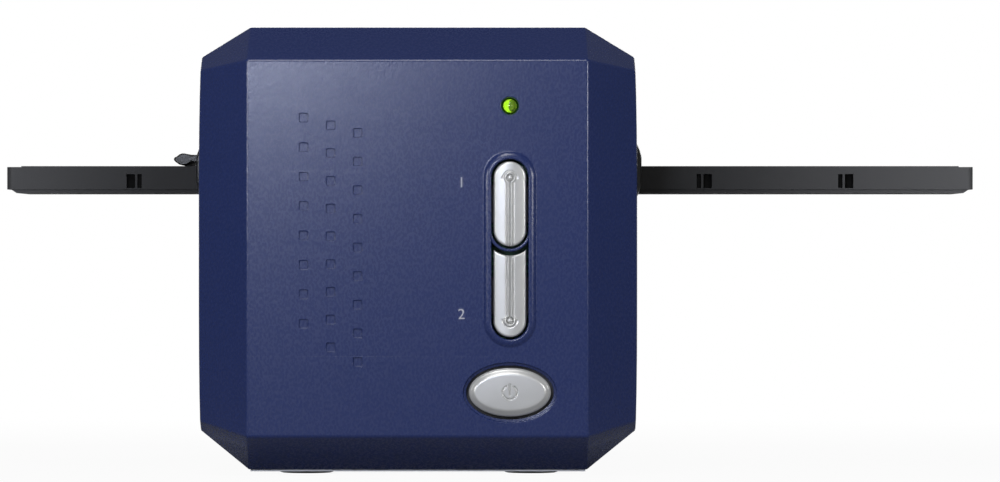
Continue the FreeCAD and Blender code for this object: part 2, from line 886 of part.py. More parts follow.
def base_plate():
    plate = box(
        span(as_size(0), plate_half), span(as_size(0), plate_half_long),
        (s.plate_bottom, plate_top),
    )
    bosses = [
        rod("z", x, y, (plate_top - s.plate_thick / 2, s.chassis_low), s.chassis_boss_radius)
        for x, y in chassis_screw_spots
    ]
    boss_holes = [
        rod("z", x, y, (s.plate_bottom + s.plate_thick / 2, s.chassis_low), s.screw_radius)
        for x, y in chassis_screw_spots
    ]
    plug_holes = [
        rod("z", x, y, (s.plate_bottom, plate_top), s.foot_plug_radius) for x, y in foot_spots
    ]
    screw_ways = []
    for x, y, _ in all_base_screws:
        screw_ways.append(rod("z", x, y, (s.plate_bottom, plate_top), s.screw_radius))
        seat = (s.plate_bottom, s.plate_bottom + s.screw_head_tall)
        screw_ways.append(rod("z", x, y, seat, s.screw_head_radius + s.head_gap))
    return node("base_plate", cut(fuse(plate, *bosses), *boss_holes, *plug_holes, *screw_ways))


def feet():
    """Rubber pads with a slightly domed edge and a plug that goes up through the plate."""
    pads = []
    for x, y in foot_spots:
        pad_cone = doc.addObject("Part::Cone", "pad")
        bind(pad_cone, "Radius1", s.foot_sole_radius)
        bind(pad_cone, "Radius2", s.foot_radius)
        bind(pad_cone, "Height", s.plate_bottom)
        locate(pad_cone, x, y, 0)
        plug = rod("z", x, y, (s.plate_bottom / 2, plate_top), s.foot_plug_radius)
        pads.append(fuse(pad_cone, plug))
    return node("feet", group(*pads))


def pan_screw(axis, first, second, head_at, tip, direction):
    """A screw with a flat head; head_at is where the head's seat is, tip its far end."""
    far = head_at - direction * s.screw_head_tall
    head = (far, head_at) if direction > 0 else (head_at, far)
    shank = (head_at, tip) if direction > 0 else (tip, head_at)
    return fuse(
        rod(axis, first, second, head, s.screw_head_radius),
        rod(axis, first, second, shank, s.screw_radius),
    )


def base_screws():
    seat = s.plate_bottom + s.screw_head_tall
    return node("base_screws", group(*[
        pan_screw("z", x, y, seat, top - s.screw_end_gap, 1) for x, y, top in all_base_screws
    ]))


board_post_spots = [
    (button_x + side * s.board_post_x, z)
    for side in (-1, 1) for z in (s.board_post_low, s.board_post_high)
]
button_rows = {
    "upper": (s.scan_mid_z + s.scan_high_z) / 2,
    "lower": (s.scan_low_z + s.scan_mid_z - s.scan_lower_notch) / 2,
    "power": s.power_z,
}
button_back_y = inner_face_y + s.flange_gap


def scan_button(name, face):
    """A long button: its cap passes the panel, and a flange and a stem lie behind it."""
    stem_z = button_rows[name]
    flange_y = (button_back_y, button_back_y + s.flange_thick)
    flange = box(
        span(button_x, s.scan_half + s.panel_gap + s.flange_lip), flange_y,
        span(stem_z, s.scan_half + s.flange_lip),
    )
    stem = rod("y", button_x, stem_z, (button_back_y, plunger_tip_y), s.plunger_radius)
    return node(f"{name}_scan_button", fuse(face, flange, stem))


def buttons():
    cap_y = (face_y - s.button_proud, button_back_y + s.flange_thick)
    upper = stadium(button_x, s.scan_mid_z, s.scan_high_z, cap_y, s.scan_half)
    lower = cut(
        stadium(button_x, s.scan_low_z, s.scan_mid_z, cap_y, s.scan_half),
        rod("y", button_x, s.scan_mid_z, cap_y, s.scan_lower_notch),
    )
    scan_button("upper", upper)
    scan_button("lower", lower)
    cap = oval(button_x, s.power_z, cap_y, s.power_half_wide, s.power_half_tall)
    flange = oval(
        button_x, s.power_z, (button_back_y, button_back_y + s.flange_thick),
        s.power_half_wide + s.panel_gap + s.flange_lip,
        s.power_half_tall + s.panel_gap + s.flange_lip,
    )
    stem = rod("y", button_x, s.power_z, (button_back_y, plunger_tip_y), s.plunger_radius)
    node("power_button", fuse(cap, flange, stem))


def switches():
    """Square switches on the board, each with a plunger that its button's stem rests on."""
    bodies = []
    for name, z in button_rows.items():
        case = box(
            span(button_x, s.switch_half), (switch_front_y, board_front_y),
            span(z, s.switch_half),
        )
        depth = s.plunger_in + s.button_travel + s.run_gap
        bore = rod(
            "y", button_x, z, (switch_front_y, switch_front_y + depth),
            s.plunger_radius + s.shaft_gap,
        )
        bodies.append(cut(case, bore))
        node(f"{name}_switch_plunger", rod(
            "y", button_x, z, (plunger_tip_y, switch_front_y + s.plunger_in), s.plunger_radius
        ))
    node("tactile_switches", group(*bodies))


def button_board():
    board = box(
        span(button_x, s.button_board_half), (board_front_y, board_back_y),
        (s.button_board_low, s.button_board_high),
    )
    plug = box(
        span(s.ribbon_x, s.ribbon_half + s.plug_side), (board_back_y, board_back_y + s.plug_deep),
        (s.button_board_low + s.plug_up, s.button_board_low + s.plug_up + s.plug_tall),
    )
    holes = [
        rod("y", x, z, (board_front_y, board_back_y), s.screw_radius) for x, z in board_post_spots
    ]
    node("button_board", cut(fuse(board, plug), *holes))


def status_lamp():
    """A round lamp with a domed end just in front of the panel."""
    radius = s.status_lamp_radius
    dome = doc.addObject("Part::Sphere", "dome")
    bind(dome, "Radius", radius)
    locate(dome, button_x, face_y, lamp_z)
    stem = rod("y", button_x, lamp_z, (face_y, board_front_y), radius)
    node("status_lamp", fuse(dome, stem))


front_cover()
main_housing()
rear_cover()
base_plate()
feet()
base_screws()
buttons()
switches()
button_board()
status_lamp()


def frame_windows(z):
    return [
        box(span(x, s.window_long / 2), span(holder_mid_y, s.window_wide / 2), z)
        for x in frame_centres
    ]


def detent_notches():
    """At each frame a deep recess and, towards the holder's middle, a slot between ridges."""
    blocks = []
    z = (notch_low, notch_high)
    slot_far = s.notch_near - s.notch_ridge
    cuts = [
        (s.notch_near, s.notch_near + s.notch_wide, s.notch_deep),
        (slot_far - s.notch_slot_wide, slot_far, s.notch_slot_deep),
    ]
    for x in frame_centres:
        for low, high, depth in cuts:
            edges = (x - high, x - low) if x.value < holder_mid_x.value else (x + low, x + high)
            blocks.append(box(edges, (holder_front - OVER, holder_front + depth), z))
    return blocks


lid_x = (holder_left + s.lid_end, holder_right - s.lid_end)
lid_y = (holder_front + s.lid_side, holder_rear - s.lid_side)
latch_spots = [holder_mid_x - 2 * s.frame_pitch, holder_mid_x + 2 * s.frame_pitch]


def lid_pins():
    """Two short pins on which the lid turns, near the rear edge, one at each end."""
    y, z = lid_y[1] - s.lid_pin_in, lid_top - s.lid_pin_down
    return [rod("x", y, z, span(x, s.lid_pin_long / 2), s.lid_pin_radius) for x in lid_x]


def latches():
    """Two snap tongues between the lid's front edge and the tray's front wall."""
    y = (lid_y[0] - s.lid_fit - s.latch_reach, lid_y[0] + s.latch_reach)
    z = (lid_low + s.latch_up, lid_low + s.latch_up + s.latch_thick)
    return [box(span(x, s.latch_half), y, z) for x in latch_spots]


def film_holder():
    tray = new_body("tray_form")
    upper = pad(tray, "z", rectangle((holder_left, holder_right), (holder_front, holder_rear)),
                (holder_step, holder_top))
    round_corners(tray, upper, Vector(0, 0, 1), s.holder_corner)
    sole = new_body("sole_form")
    left, right = holder_left + s.foot_inset, holder_right - s.foot_inset
    pad(sole, "y", [
        (left, holder_step), (left + s.foot_slope, s.holder_low),
        (right - s.foot_slope, s.holder_low), (right, holder_step),
    ], (holder_front + s.foot_side_inset, holder_rear - s.foot_side_inset))
    lid_seat = box(
        (lid_x[0] - s.lid_fit, lid_x[1] + s.lid_fit), (lid_y[0] - s.lid_fit, lid_y[1] + s.lid_fit),
        (film_floor, holder_top + OVER),
    )
    through = (s.holder_low - OVER, lid_top + OVER)
    node("holder_tray", cut(
        fuse(tray, sole), lid_seat, *frame_windows(through), *detent_notches(), *lid_pins(),
        *latches(),
    ))
    node("holder_lid", cut(
        box(lid_x, lid_y, (lid_low, lid_top)), *frame_windows(through), *lid_pins(), *latches(),
    ))
    node("lid_hinge_pins", group(*lid_pins()))
    node("lid_latches", group(*latches()))


film_holder()


def bezel(side):
    """A rounded collar round the side slot, with a spigot in the housing's side hole."""
    def ordered(a, b):
        return (a, b) if side > 0 else (-b, -a)

    long_y = span(holder_mid_y, bezel_half_long)
    flange = new_body("bezel_form")
    x = ordered(s.side_half, bezel_crest + OVER)
    block = pad(flange, "x", rectangle(long_y, (bezel_low, bezel_high)), x)
    round_corners(flange, block, Vector(1, 0, 0), s.bezel_corner)
    crest = rod(
        "y", side * (bezel_crest - s.bezel_curve), (bezel_low + bezel_high) / 2, long_y,
        s.bezel_curve,
    )
    spigot = box(
        ordered(s.side_half - s.spigot_deep, s.side_half),
        span(holder_mid_y, bezel_half_long - s.spigot_inset),
        (bezel_low + s.spigot_inset, bezel_high - s.spigot_inset),
    )
    throat_y = (holder_front - s.throat_side, holder_rear + s.throat_side)
    throat = box(
        ordered(s.side_half - s.spigot_deep - OVER, bezel_crest + OVER), throat_y,
        (throat_low, throat_high),
    )
    word = "right" if side > 0 else "left"
    pin_y = (throat_y[0] - s.flap_pin_in, throat_y[1] + s.flap_pin_in)
    hinge_x = side * flap_hinge_x
    node(f"{word}_slot_bezel", cut(
        fuse(common(flange, crest), spigot), throat,
        rod("y", hinge_x, flap_hinge_z, pin_y, s.flap_pin_radius),
    ))
    pin = rod("y", hinge_x, flap_hinge_z, pin_y, s.flap_pin_radius)
    flap_y = (throat_y[0] + s.flap_end_gap, throat_y[1] - s.flap_end_gap)
    plate_z = span(flap_hinge_z - s.flap_drop, s.flap_thick / 2)
    bump_low = lid_top + s.run_gap - s.shaft_gap
    tip_x = hinge_x - s.flap_reach + s.flap_tip
    bulb_x = tip_x + s.flap_bulb_back
    leaf = fuse(
        box((bulb_x, hinge_x), flap_y, plate_z),
        rod("y", hinge_x, flap_hinge_z, flap_y, s.flap_barrel),
        rod("y", bulb_x, bump_low + s.flap_bulb, flap_y, s.flap_bulb),
        rod("y", tip_x, bump_low + s.flap_bulb - s.flap_tip_drop, flap_y, s.flap_tip),
        box((bulb_x - s.flap_neck_front, bulb_x + s.flap_neck_back), flap_y, (bump_low, flap_hinge_z)),
    )
    node(f"{word}_dust_flap", cut(
        leaf, rod("y", hinge_x, flap_hinge_z, flap_y, s.flap_pin_radius + s.shaft_gap)
    ))
    return pin


node("flap_pins", group(bezel(-1), bezel(1)))


def chassis():
    """A bent steel floor with side walls under the film rails and a wall at the front."""
    form = new_body("chassis_form")
    half, floor_half = chassis_half, chassis_floor_half
    inner, lift = chassis_inner, s.chassis_bend + s.bend_rise
    floor_inner = floor_half - s.bend_run
    low, top = s.chassis_low, rail_bottom
    right_side = [
        (floor_half, low), (half, s.chassis_bend), (half, top), (inner, top), (inner, lift),
        (floor_inner, chassis_floor),
    ]
    left_side = [(-x, z) for x, z in reversed(right_side)]
    pad(form, "y", right_side + left_side, (chassis_front, chassis_rear))
    doc.recompute()
    rear_y = (flange_rear, chassis_rear + OVER)
    pocket(form, "x", rectangle(rear_y, (lift, top + OVER)), (-half - OVER, half + OVER))
    front_wall = new_body("front_wall_form")
    wall_y = (chassis_front, chassis_front + s.sheet)
    wall_side = [(floor_inner, chassis_floor), (inner, lift), (inner, top)]
    outline = wall_side + [(-x, z) for x, z in reversed(wall_side)]
    pad(front_wall, "y", outline, wall_y)
    doc.recompute()
    window = rectangle(span(as_size(0), carriage_half), (s.drive_z, top - s.tab_wide))
    pocket(front_wall, "y", window, (wall_y[0] - OVER, wall_y[1] + OVER))
    tabs = [
        box((x, x + s.tab_wide), (chassis_rear, chassis_rear + s.sheet),
            (s.chassis_low, s.main_board_high))
        for x in (main_board_left + s.tab_in, s.tab_right)
    ]
    boss_ways = [
        box(
            (x - s.boss_half - s.boss_gap, x + s.boss_half + s.boss_reach) if x.value > 0
            else (x - s.boss_half - s.boss_reach, x + s.boss_half + s.boss_gap),
            span(y, s.boss_half + s.boss_gap), (s.chassis_low - OVER, chassis_floor + s.sheet),
        )
        for x, y in housing_boss_spots
    ]
    holes = [
        rod("z", x, y, (s.chassis_low, chassis_floor), s.screw_radius)
        for x, y in chassis_screw_spots
    ]
    spacers = [
        rod("y", x, z, (chassis_rear, main_board_y), s.spacer_radius)
        for x, z in main_board_screw_spots
    ]
    board_holes = [
        rod("y", x, z, (chassis_rear, main_board_y), s.screw_radius)
        for x, z in main_board_screw_spots
    ]
    node("chassis", cut(
        fuse(form, front_wall, *tabs, *spacers), *boss_ways, *holes, *board_holes
    ))


main_board_screw_spots = [
    (x + s.tab_wide / 2, z)
    for x in (main_board_left + s.tab_in, s.tab_right)
    for z in (s.main_board_low + s.board_screw_up, s.main_board_high - s.board_screw_down)
]


def guide_rail(word, outward):
    """A channel under, beside and just over one edge of the film holder."""
    edge = holder_front if outward < 0 else holder_rear
    wall_in = edge + outward * (s.run_gap - s.shaft_gap)
    wall_out = wall_in + outward * s.rail_wall
    floor_in = edge - outward * s.rail_floor
    lip_in = edge - outward * s.rail_lip
    lip_low = holder_top + s.run_gap
    lip_high = lip_low + s.rail_lip_thick
    rail = new_body(f"{word}_rail_form")
    pad(rail, "x", [
        (wall_out, rail_bottom), (floor_in, rail_bottom), (floor_in, rail_floor_top),
        (wall_in, rail_floor_top), (wall_in, lip_low), (lip_in, lip_low), (lip_in, lip_high),
        (wall_out, lip_high),
    ], (-chassis_half, chassis_half))
    ends = [
        box(x, wide, (rail_floor_top, lip_high + OVER))
        for x in (
            (-chassis_half - OVER, -rail_upper_half), (rail_upper_half, chassis_half + OVER)
        )
    ]
    if outward < 0:
        ends.append(box(
            span(as_size(0), s.nose_way_half), (wall_out - OVER, wall_in + OVER),
            (notch_low - s.nose_way_under, notch_high + s.nose_way_over),
        ))
        strip = box(
            span(as_size(0), s.spring_half), (wall_out - s.run_gap, wall_out),
            (notch_low, notch_high),
        )
        nose_z = (notch_low + s.run_gap, notch_high - s.run_gap)
        nose = rod("z", 0, edge - s.run_gap - s.sheet, nose_z, s.sheet)
        link_y = (wall_out - s.run_gap, edge - s.sheet)
        link = box(span(as_size(0), s.run_gap), link_y, nose_z)
        node("detent_spring", fuse(strip, nose, link))
    node(f"{word}_guide_rail", cut(rail, *ends))


def film_gate_mask():
    z = (rail_bottom - s.mask_thick, rail_bottom)
    plate_y = (holder_front + s.mask_end_gap, holder_rear - s.mask_end_gap)
    plate = box(span(as_size(0), chassis_inner - s.mask_side_gap), plate_y, z)
    window = box(
        span(as_size(0), s.window_long / 2 + s.mask_margin / 2),
        span(holder_mid_y, s.window_wide / 2 + s.mask_margin), z,
    )
    node("film_gate_mask", cut(plate, window))


chassis()
guide_rail("front", -1)
guide_rail("rear", 1)
film_gate_mask()

front_wall_back = chassis_front + s.sheet
lug_spans = [span(y, s.lug_half) for y in (lug_front_y, lug_rear_y)]
bore_radius = s.rod_radius + s.shaft_gap
arm_low = s.rail_top + s.run_gap
cavity_half = carriage_half - s.carriage_wall
cavity_front = carriage_front + s.carriage_wall
cavity_rear = carriage_rear - s.carriage_wall
cavity_floor = s.carriage_low + s.carriage_wall
lid_high = s.carriage_high + s.carriage_lid_thick
belt_top_low = s.drive_z + s.belt_inner
belt_top_high = belt_top_low + s.belt_thick
clamp_half = s.belt_half + s.clamp_wall


def carriage_box():
    shell = box(
        span(as_size(0), carriage_half), (carriage_front, carriage_rear),
        (s.carriage_low, s.carriage_high),
    )
    cavity = box(
        span(as_size(0), cavity_half), (cavity_front, cavity_rear),
        (cavity_floor, s.carriage_high + OVER),
    )
    cable_way = box(
        span(s.flat_cable_x, s.flat_cable_half + s.cable_way_side),
        span(sensor_y + s.board_thick + s.flat_cable_lead, s.cable_way_half),
        (s.carriage_low, cavity_floor),
    )
    slope = scan_line_y + s.optic_z - s.mirror_thick / 2 * math.sqrt(2)
    wedge = new_body("mirror_seat_form")
    pad(wedge, "x", [
        (cavity_front, cavity_floor), (slope - cavity_floor, cavity_floor),
        (cavity_front, slope - cavity_front),
    ], span(as_size(0), mirror_half))
    lens_y = (lens_front, lens_front + s.lens_long)
    saddle = cut(
        box(span(as_size(0), s.lens_radius + s.saddle_side),
            (lens_y[0] + s.saddle_in, lens_y[1] - s.saddle_in), (cavity_floor, s.optic_z)),
        rod("y", 0, s.optic_z, lens_y, s.lens_radius),
    )
    lugs, bores = [], []
    lug_radius = s.bush_radius + s.lug_margin
    for y in lug_spans:
        lugs.append(box(
            (rod_x - lug_radius + s.lug_trim, -carriage_half), y, span(s.rod_z, lug_radius)
        ))
        bores.append(rod("y", rod_x, s.rod_z, y, s.bush_radius))
        lugs.append(box(
            (carriage_half, rail_x + s.rail_half), y, (arm_low, arm_low + s.arm_thick)
        ))
    lugs.append(box(
        (rail_x, belt_x + clamp_half), lug_spans[1], (arm_low, arm_low + s.arm_thick)
    ))
    node("carriage_box", cut(
        fuse(cut(shell, cavity), wedge, saddle, *lugs), cable_way, *bores
    ))
    node("rod_bushes", group(*[
        cut(rod("y", rod_x, s.rod_z, y, s.bush_radius),
            rod("y", rod_x, s.rod_z, y, bore_radius))
        for y in lug_spans
    ]))
    slit = box(
        span(as_size(0), slit_half), span(scan_line_y, s.slit_wide / 2),
        (s.carriage_high, lid_high),
    )
    cover = box(
        span(as_size(0), carriage_half), (carriage_front, carriage_rear),
        (s.carriage_high, lid_high),
    )
    node("carriage_lid", cut(cover, slit))


def optics():
    mirror = doc.addObject("Part::Box", "mirror")
    bind(mirror, "Length", mirror_half * 2)
    bind(mirror, "Width", s.mirror_long)
    bind(mirror, "Height", s.mirror_thick)
    mirror.Placement = Placement(Vector(), Rotation(Vector(1, 0, 0), -45))
    reach = s.mirror_long / 2 / math.sqrt(2)
    half_thick = s.mirror_thick / 2 / math.sqrt(2)
    locate(mirror, -mirror_half, scan_line_y - reach - half_thick,
           s.optic_z + reach - half_thick)
    node("fold_mirror", mirror)
    lens_y = (lens_front, lens_front + s.lens_long)
    node("lens_barrel", cut(
        rod("y", 0, s.optic_z, lens_y, s.lens_radius),
        rod("y", 0, s.optic_z, lens_y, s.glass_radius),
    ))
    glasses = []
    for front in (lens_y[0] + s.glass_in, lens_y[1] - s.glass_in - s.glass_thick):
        ball = doc.addObject("Part::Sphere", "ball")
        bind(ball, "Radius", s.glass_curve)
        locate(ball, 0, front + s.glass_curve, s.optic_z)
        glasses.append(common(
            rod("y", 0, s.optic_z, (front, front + s.glass_thick), s.glass_radius), ball
        ))
    node("lens_elements", group(*glasses))
    node("line_sensor", box(
        span(as_size(0), slit_half + s.sensor_side), (sensor_y - s.sensor_deep, sensor_y),
        span(s.optic_z, s.sensor_tall_half),
    ))
    node("sensor_board", box(
        span(as_size(0), cavity_half), (sensor_y, sensor_y + s.board_thick),
        (cavity_floor + s.sensor_board_up, s.carriage_high - s.sensor_board_down),
    ))


def lamp():
    hood_y = span(scan_line_y, s.lamp_hood_half + s.hood_wall)
    post_y = (post_front, post_front + s.post_thick)
    plate_z = (s.lamp_high - s.hood_roof, s.lamp_high)
    post = box(span(as_size(0), slit_half), post_y, (lid_high, s.lamp_high))
    arm = box(span(as_size(0), slit_half), (hood_y[0], post_y[1]), plate_z)
    hood = box(span(as_size(0), lamp_half + s.sheet), hood_y, (s.lamp_low, s.lamp_high))
    inner_y = span(scan_line_y, s.lamp_hood_half)
    hollow = box(
        span(as_size(0), lamp_half), inner_y, (s.lamp_low - OVER, s.lamp_high - s.hood_roof)
    )
    node("lamp_arm", cut(fuse(post, arm, hood), hollow))
    node("lamp_strip", rod(
        "x", scan_line_y, s.lamp_tube_z, span(as_size(0), lamp_half), s.lamp_radius
    ))
    node("lamp_diffuser", box(
        span(as_size(0), lamp_half), inner_y, (s.lamp_low, s.lamp_low + s.diffuser_thick)
    ))


def guides():
    """The round rod with its two holders, and the flat rail on the other side."""
    node("guide_rod", rod(
        "y", rod_x, s.rod_z, (front_wall_back, rod_end), s.rod_radius
    ))
    blocks = []
    for y in ((front_wall_back, front_wall_back + s.holder_block),
              (rod_end - s.holder_block, rod_end)):
        blocks.append(cut(
            box((rod_x - s.block_out, rod_x + s.block_in), y, (chassis_floor, s.rod_z + s.bush_radius)),
            rod("y", rod_x, s.rod_z, y, s.rod_radius),
        ))
    node("rod_holders", group(*blocks))
    rail_y = (front_wall_back, drive_y - bracket_half - s.rail_end_gap)
    node("support_rail", fuse(
        box(span(rail_x, s.rail_half), rail_y, (s.rail_top - s.rail_thick, s.rail_top)),
        box(span(rail_x, s.sheet / 2), rail_y, (chassis_floor, s.rail_top)),
    ))


carriage_box()
optics()
lamp()
guides()


def toothed(name, teeth, along, bore, point):
    """A gear about X with one tooth pointing up (1) or a gap pointing down (-1)."""
    pitch_radius = s.gear_module * teeth / 2
    root = pitch_radius - s.gear_module * GEAR_ROOT
    tip = pitch_radius + s.gear_module * GEAR_TIP
    wheel = new_body(f"{name}_form")
    drawing = wheel.newObject("Sketcher::SketchObject", "rim")
    plane = next(f for f in wheel.Origin.OriginFeatures if f.Role == "YZ_Plane")
    drawing.AttachmentSupport = [(plane, "")]
    drawing.MapMode = "FlatFace"
    bind(drawing, "AttachmentOffset.Base.z", along[0])
    for index, radius in enumerate((root, bore)):
        drawing.addGeometry(Part.Circle(Vector(), Vector(0, 0, 1), radius.value), False)
        drawing.addConstraint(Sketcher.Constraint("Coincident", index, 3, -1, 1))
        number = drawing.addConstraint(Sketcher.Constraint("Radius", index, radius.value))
        bind(drawing, f"Constraints[{number}]", radius)
    disc = wheel.newObject("PartDesign::Pad", "disc")
    disc.Profile = drawing
    bind(disc, "Length", along[1] - along[0])
    foot, crown = s.gear_module * GEAR_FOOT, s.gear_module * GEAR_CROWN
    sunk = root - s.gear_module * GEAR_SINK
    tooth = pad(wheel, "x", [
        (-foot, point * sunk), (foot, point * sunk), (crown, point * tip), (-crown, point * tip),
    ], along)
    ring = wheel.newObject("PartDesign::PolarPattern", "tooth_ring")
    ring.Originals = [tooth]
    axis = next(f for f in wheel.Origin.OriginFeatures if f.Role == "X_Axis")
    ring.Axis = (axis, [""])
    ring.Angle = 360
    bind(ring, "Occurrences", teeth)
    wheel.Tip = ring
    if point < 0:
        wheel.Placement = Placement(Vector(), Rotation(Vector(1, 0, 0), 180 / teeth.value))
    return wheel


def drive():
    plate_x = (bracket_x, bracket_x + s.bracket_thick)
    gear_x = (plate_x[1] + s.gear_gap, plate_x[1] + s.gear_gap + s.gear_face)
    pulley_x = span(belt_x, s.belt_half + s.pulley_side_gap)
    spacing = s.gear_module * (s.gear_teeth + s.pinion_teeth) / 2
    motor_z = s.drive_z + spacing
    motor_x = (bracket_x - s.motor_long, bracket_x)
    y, z = drive_y, s.drive_z

    bore = s.gear_pin_radius + s.shaft_gap
    gear = toothed("reduction_gear", s.gear_teeth, gear_x, bore, 1)
    locate(gear, 0, y, z)
    hub = cut(
        rod("x", y, z, (gear_x[1], pulley_x[0] - s.pulley_flange), s.belt_inner),
        rod("x", y, z, (gear_x[1], pulley_x[0]), bore),
    )
    gear_pin = rod("x", y, z, (bracket_x, pulley_x[1] + s.pin_end), s.gear_pin_radius)

    def pulley(at_y, bore_size):
        groove = s.belt_inner - s.belt_gap
        rim = s.belt_inner + s.pulley_rim
        sides = [
            (pulley_x[0] - s.pulley_flange, pulley_x[0]), (pulley_x[1], pulley_x[1] + s.pulley_flange)
        ]
        drum = fuse(
            rod("x", at_y, z, (sides[0][0], sides[1][1]), groove),
            *[rod("x", at_y, z, side, rim) for side in sides],
        )
        return cut(drum, rod("x", at_y, z, (sides[0][0], sides[1][1]), bore_size))

    node("reduction_gear", fuse(gear, hub, pulley(y, bore)))
    node("idler_pulley", pulley(idler_y, s.idler_pin_radius + s.shaft_gap))

    shaft_bore = s.motor_shaft_radius
    pinion = toothed("motor_pinion", s.pinion_teeth, gear_x, shaft_bore, -1)
    locate(pinion, 0, y, motor_z)
    node("motor_pinion", pinion)
    shaft_x = (bracket_x - s.motor_long + s.shaft_in, gear_x[1])
    node("motor_shaft", rod("x", y, motor_z, shaft_x, s.motor_shaft_radius))
    can = fuse(
        rod("x", y, motor_z, motor_x, s.motor_radius),
        rod("x", y, motor_z, (motor_x[1], plate_x[1]), s.motor_nose_radius),
    )
    bore_x = (shaft_x[0] - s.motor_bore_end, plate_x[1])
    node("stepper_motor", cut(
        can, rod("x", y, motor_z, bore_x, s.motor_shaft_radius + s.shaft_gap)
    ))
    plate = box(
        plate_x, span(y, bracket_half),
        (chassis_floor, motor_z + s.motor_radius + s.bracket_over),
    )
    foot = box(
        (bracket_x - s.tab_wide, bracket_x), span(y, bracket_half),
        (chassis_floor, chassis_floor + s.sheet),
    )
    node("motor_bracket", cut(
        fuse(plate, foot),
        rod("x", y, motor_z, plate_x, s.motor_nose_radius),
        rod("x", y, z, plate_x, s.gear_pin_radius),
    ))

    idler_plate = (idler_plate_x, idler_plate_x + s.sheet)
    idler_top = z + s.belt_inner + s.idler_plate_over
    node("idler_bracket", cut(
        box(idler_plate, span(idler_y, s.belt_inner), (chassis_floor, idler_top)),
        rod("x", idler_y, z, idler_plate, s.idler_pin_radius),
    ))
    idler_pin = rod("x", idler_y, z, (idler_plate[0], chassis_inner), s.idler_pin_radius)
    node("pulley_pins", group(gear_pin, idler_pin))

    def loop(radius):
        return fuse(
            box(span(belt_x, s.belt_half), (idler_y, y), span(z, radius)),
            rod("x", y, z, span(belt_x, s.belt_half), radius),
            rod("x", idler_y, z, span(belt_x, s.belt_half), radius),
        )

    node("drive_belt", cut(loop(s.belt_inner + s.belt_thick), loop(s.belt_inner)))
    clamp = box(
        span(belt_x, clamp_half), lug_spans[1], (belt_top_low - s.clamp_wall, arm_low)
    )
    way = box(
        span(belt_x, s.belt_half + s.run_gap), lug_spans[1],
        (belt_top_low - s.run_gap, belt_top_high + s.run_gap),
    )
    node("belt_clamp", cut(clamp, way))


drive()


def main_board():
    y = (main_board_y, main_board_y + s.board_thick)
    board = box((main_board_left, main_board_right), y, (s.main_board_low, s.main_board_high))
    holes = [rod("y", x, z, y, s.screw_radius) for x, z in main_board_screw_spots]
    node("main_board", cut(board, *holes))
    left, low = main_board_left, s.main_board_low

    def chip(inwards, up, side, tall):
        x, z = left + inwards, low + up
        return box((x, x + side), (y[0] - tall, y[0]), (z, z + side))

    cans = [
        rod("y", left + s.can_in + i * s.can_pitch, low + s.can_up, (y[0] - s.can_tall, y[0]),
            s.can_radius)
        for i in range(2)
    ]
    plug = box(
        span(s.ribbon_x, s.ribbon_half + s.plug_side), (y[0] - s.plug_deep, y[0]),
        (low + s.plug_up, low + s.plug_up + s.plug_room),
    )
    node("board_components", group(
        chip(s.chip_in, s.chip_up, s.chip_side, s.chip_tall), plug, *cans,
        chip(s.small_chip_in, s.small_chip_up, s.small_chip_side, s.small_chip_tall),
    ))
    screws = [
        pan_screw("z", x, z, chassis_floor, s.plate_bottom + s.plate_thick / 2, -1)
        for x, z in chassis_screw_spots
    ]
    screws += [
        pan_screw("y", x, z, y[1], chassis_rear, -1)
        for x, z in main_board_screw_spots
    ]
    screws += [
        pan_screw("y", x, z, board_back_y, board_front_y - s.boss_half, -1)
        for x, z in board_post_spots
    ]
    node("inner_screws", group(*screws))


def sockets():
    back = main_board_y + s.board_thick
    z = (s.socket_low, s.socket_low + s.socket_tall)
    mid_z = s.socket_low + s.socket_tall / 2
    mouth_y = (half_depth - s.usb_mouth_deep, half_depth)
    shell = box(span(s.usb_x, s.usb_wide / 2), (back, half_depth), z)
    mouth = box(span(s.usb_x, s.usb_mouth_wide / 2), mouth_y, span(mid_z, s.usb_mouth_tall / 2))
    tongue = box(
        span(s.usb_x, s.tongue_wide / 2), (mouth_y[0] - OVER, half_depth - s.tongue_in),
        span(mid_z, s.tongue_tall / 2),
    )
    node("usb_socket", fuse(cut(shell, mouth), tongue))
    bore_y = (half_depth - s.jack_bore_deep, half_depth)
    block = box(span(s.jack_x, s.jack_wide / 2), (back, half_depth), z)
    bore = rod("y", s.jack_x, mid_z, bore_y, s.jack_bore_radius)
    pin_y = (bore_y[0] - OVER, half_depth - s.jack_pin_in)
    pin = rod("y", s.jack_x, mid_z, pin_y, s.jack_pin_radius)
    node("power_jack", fuse(cut(block, bore), pin))


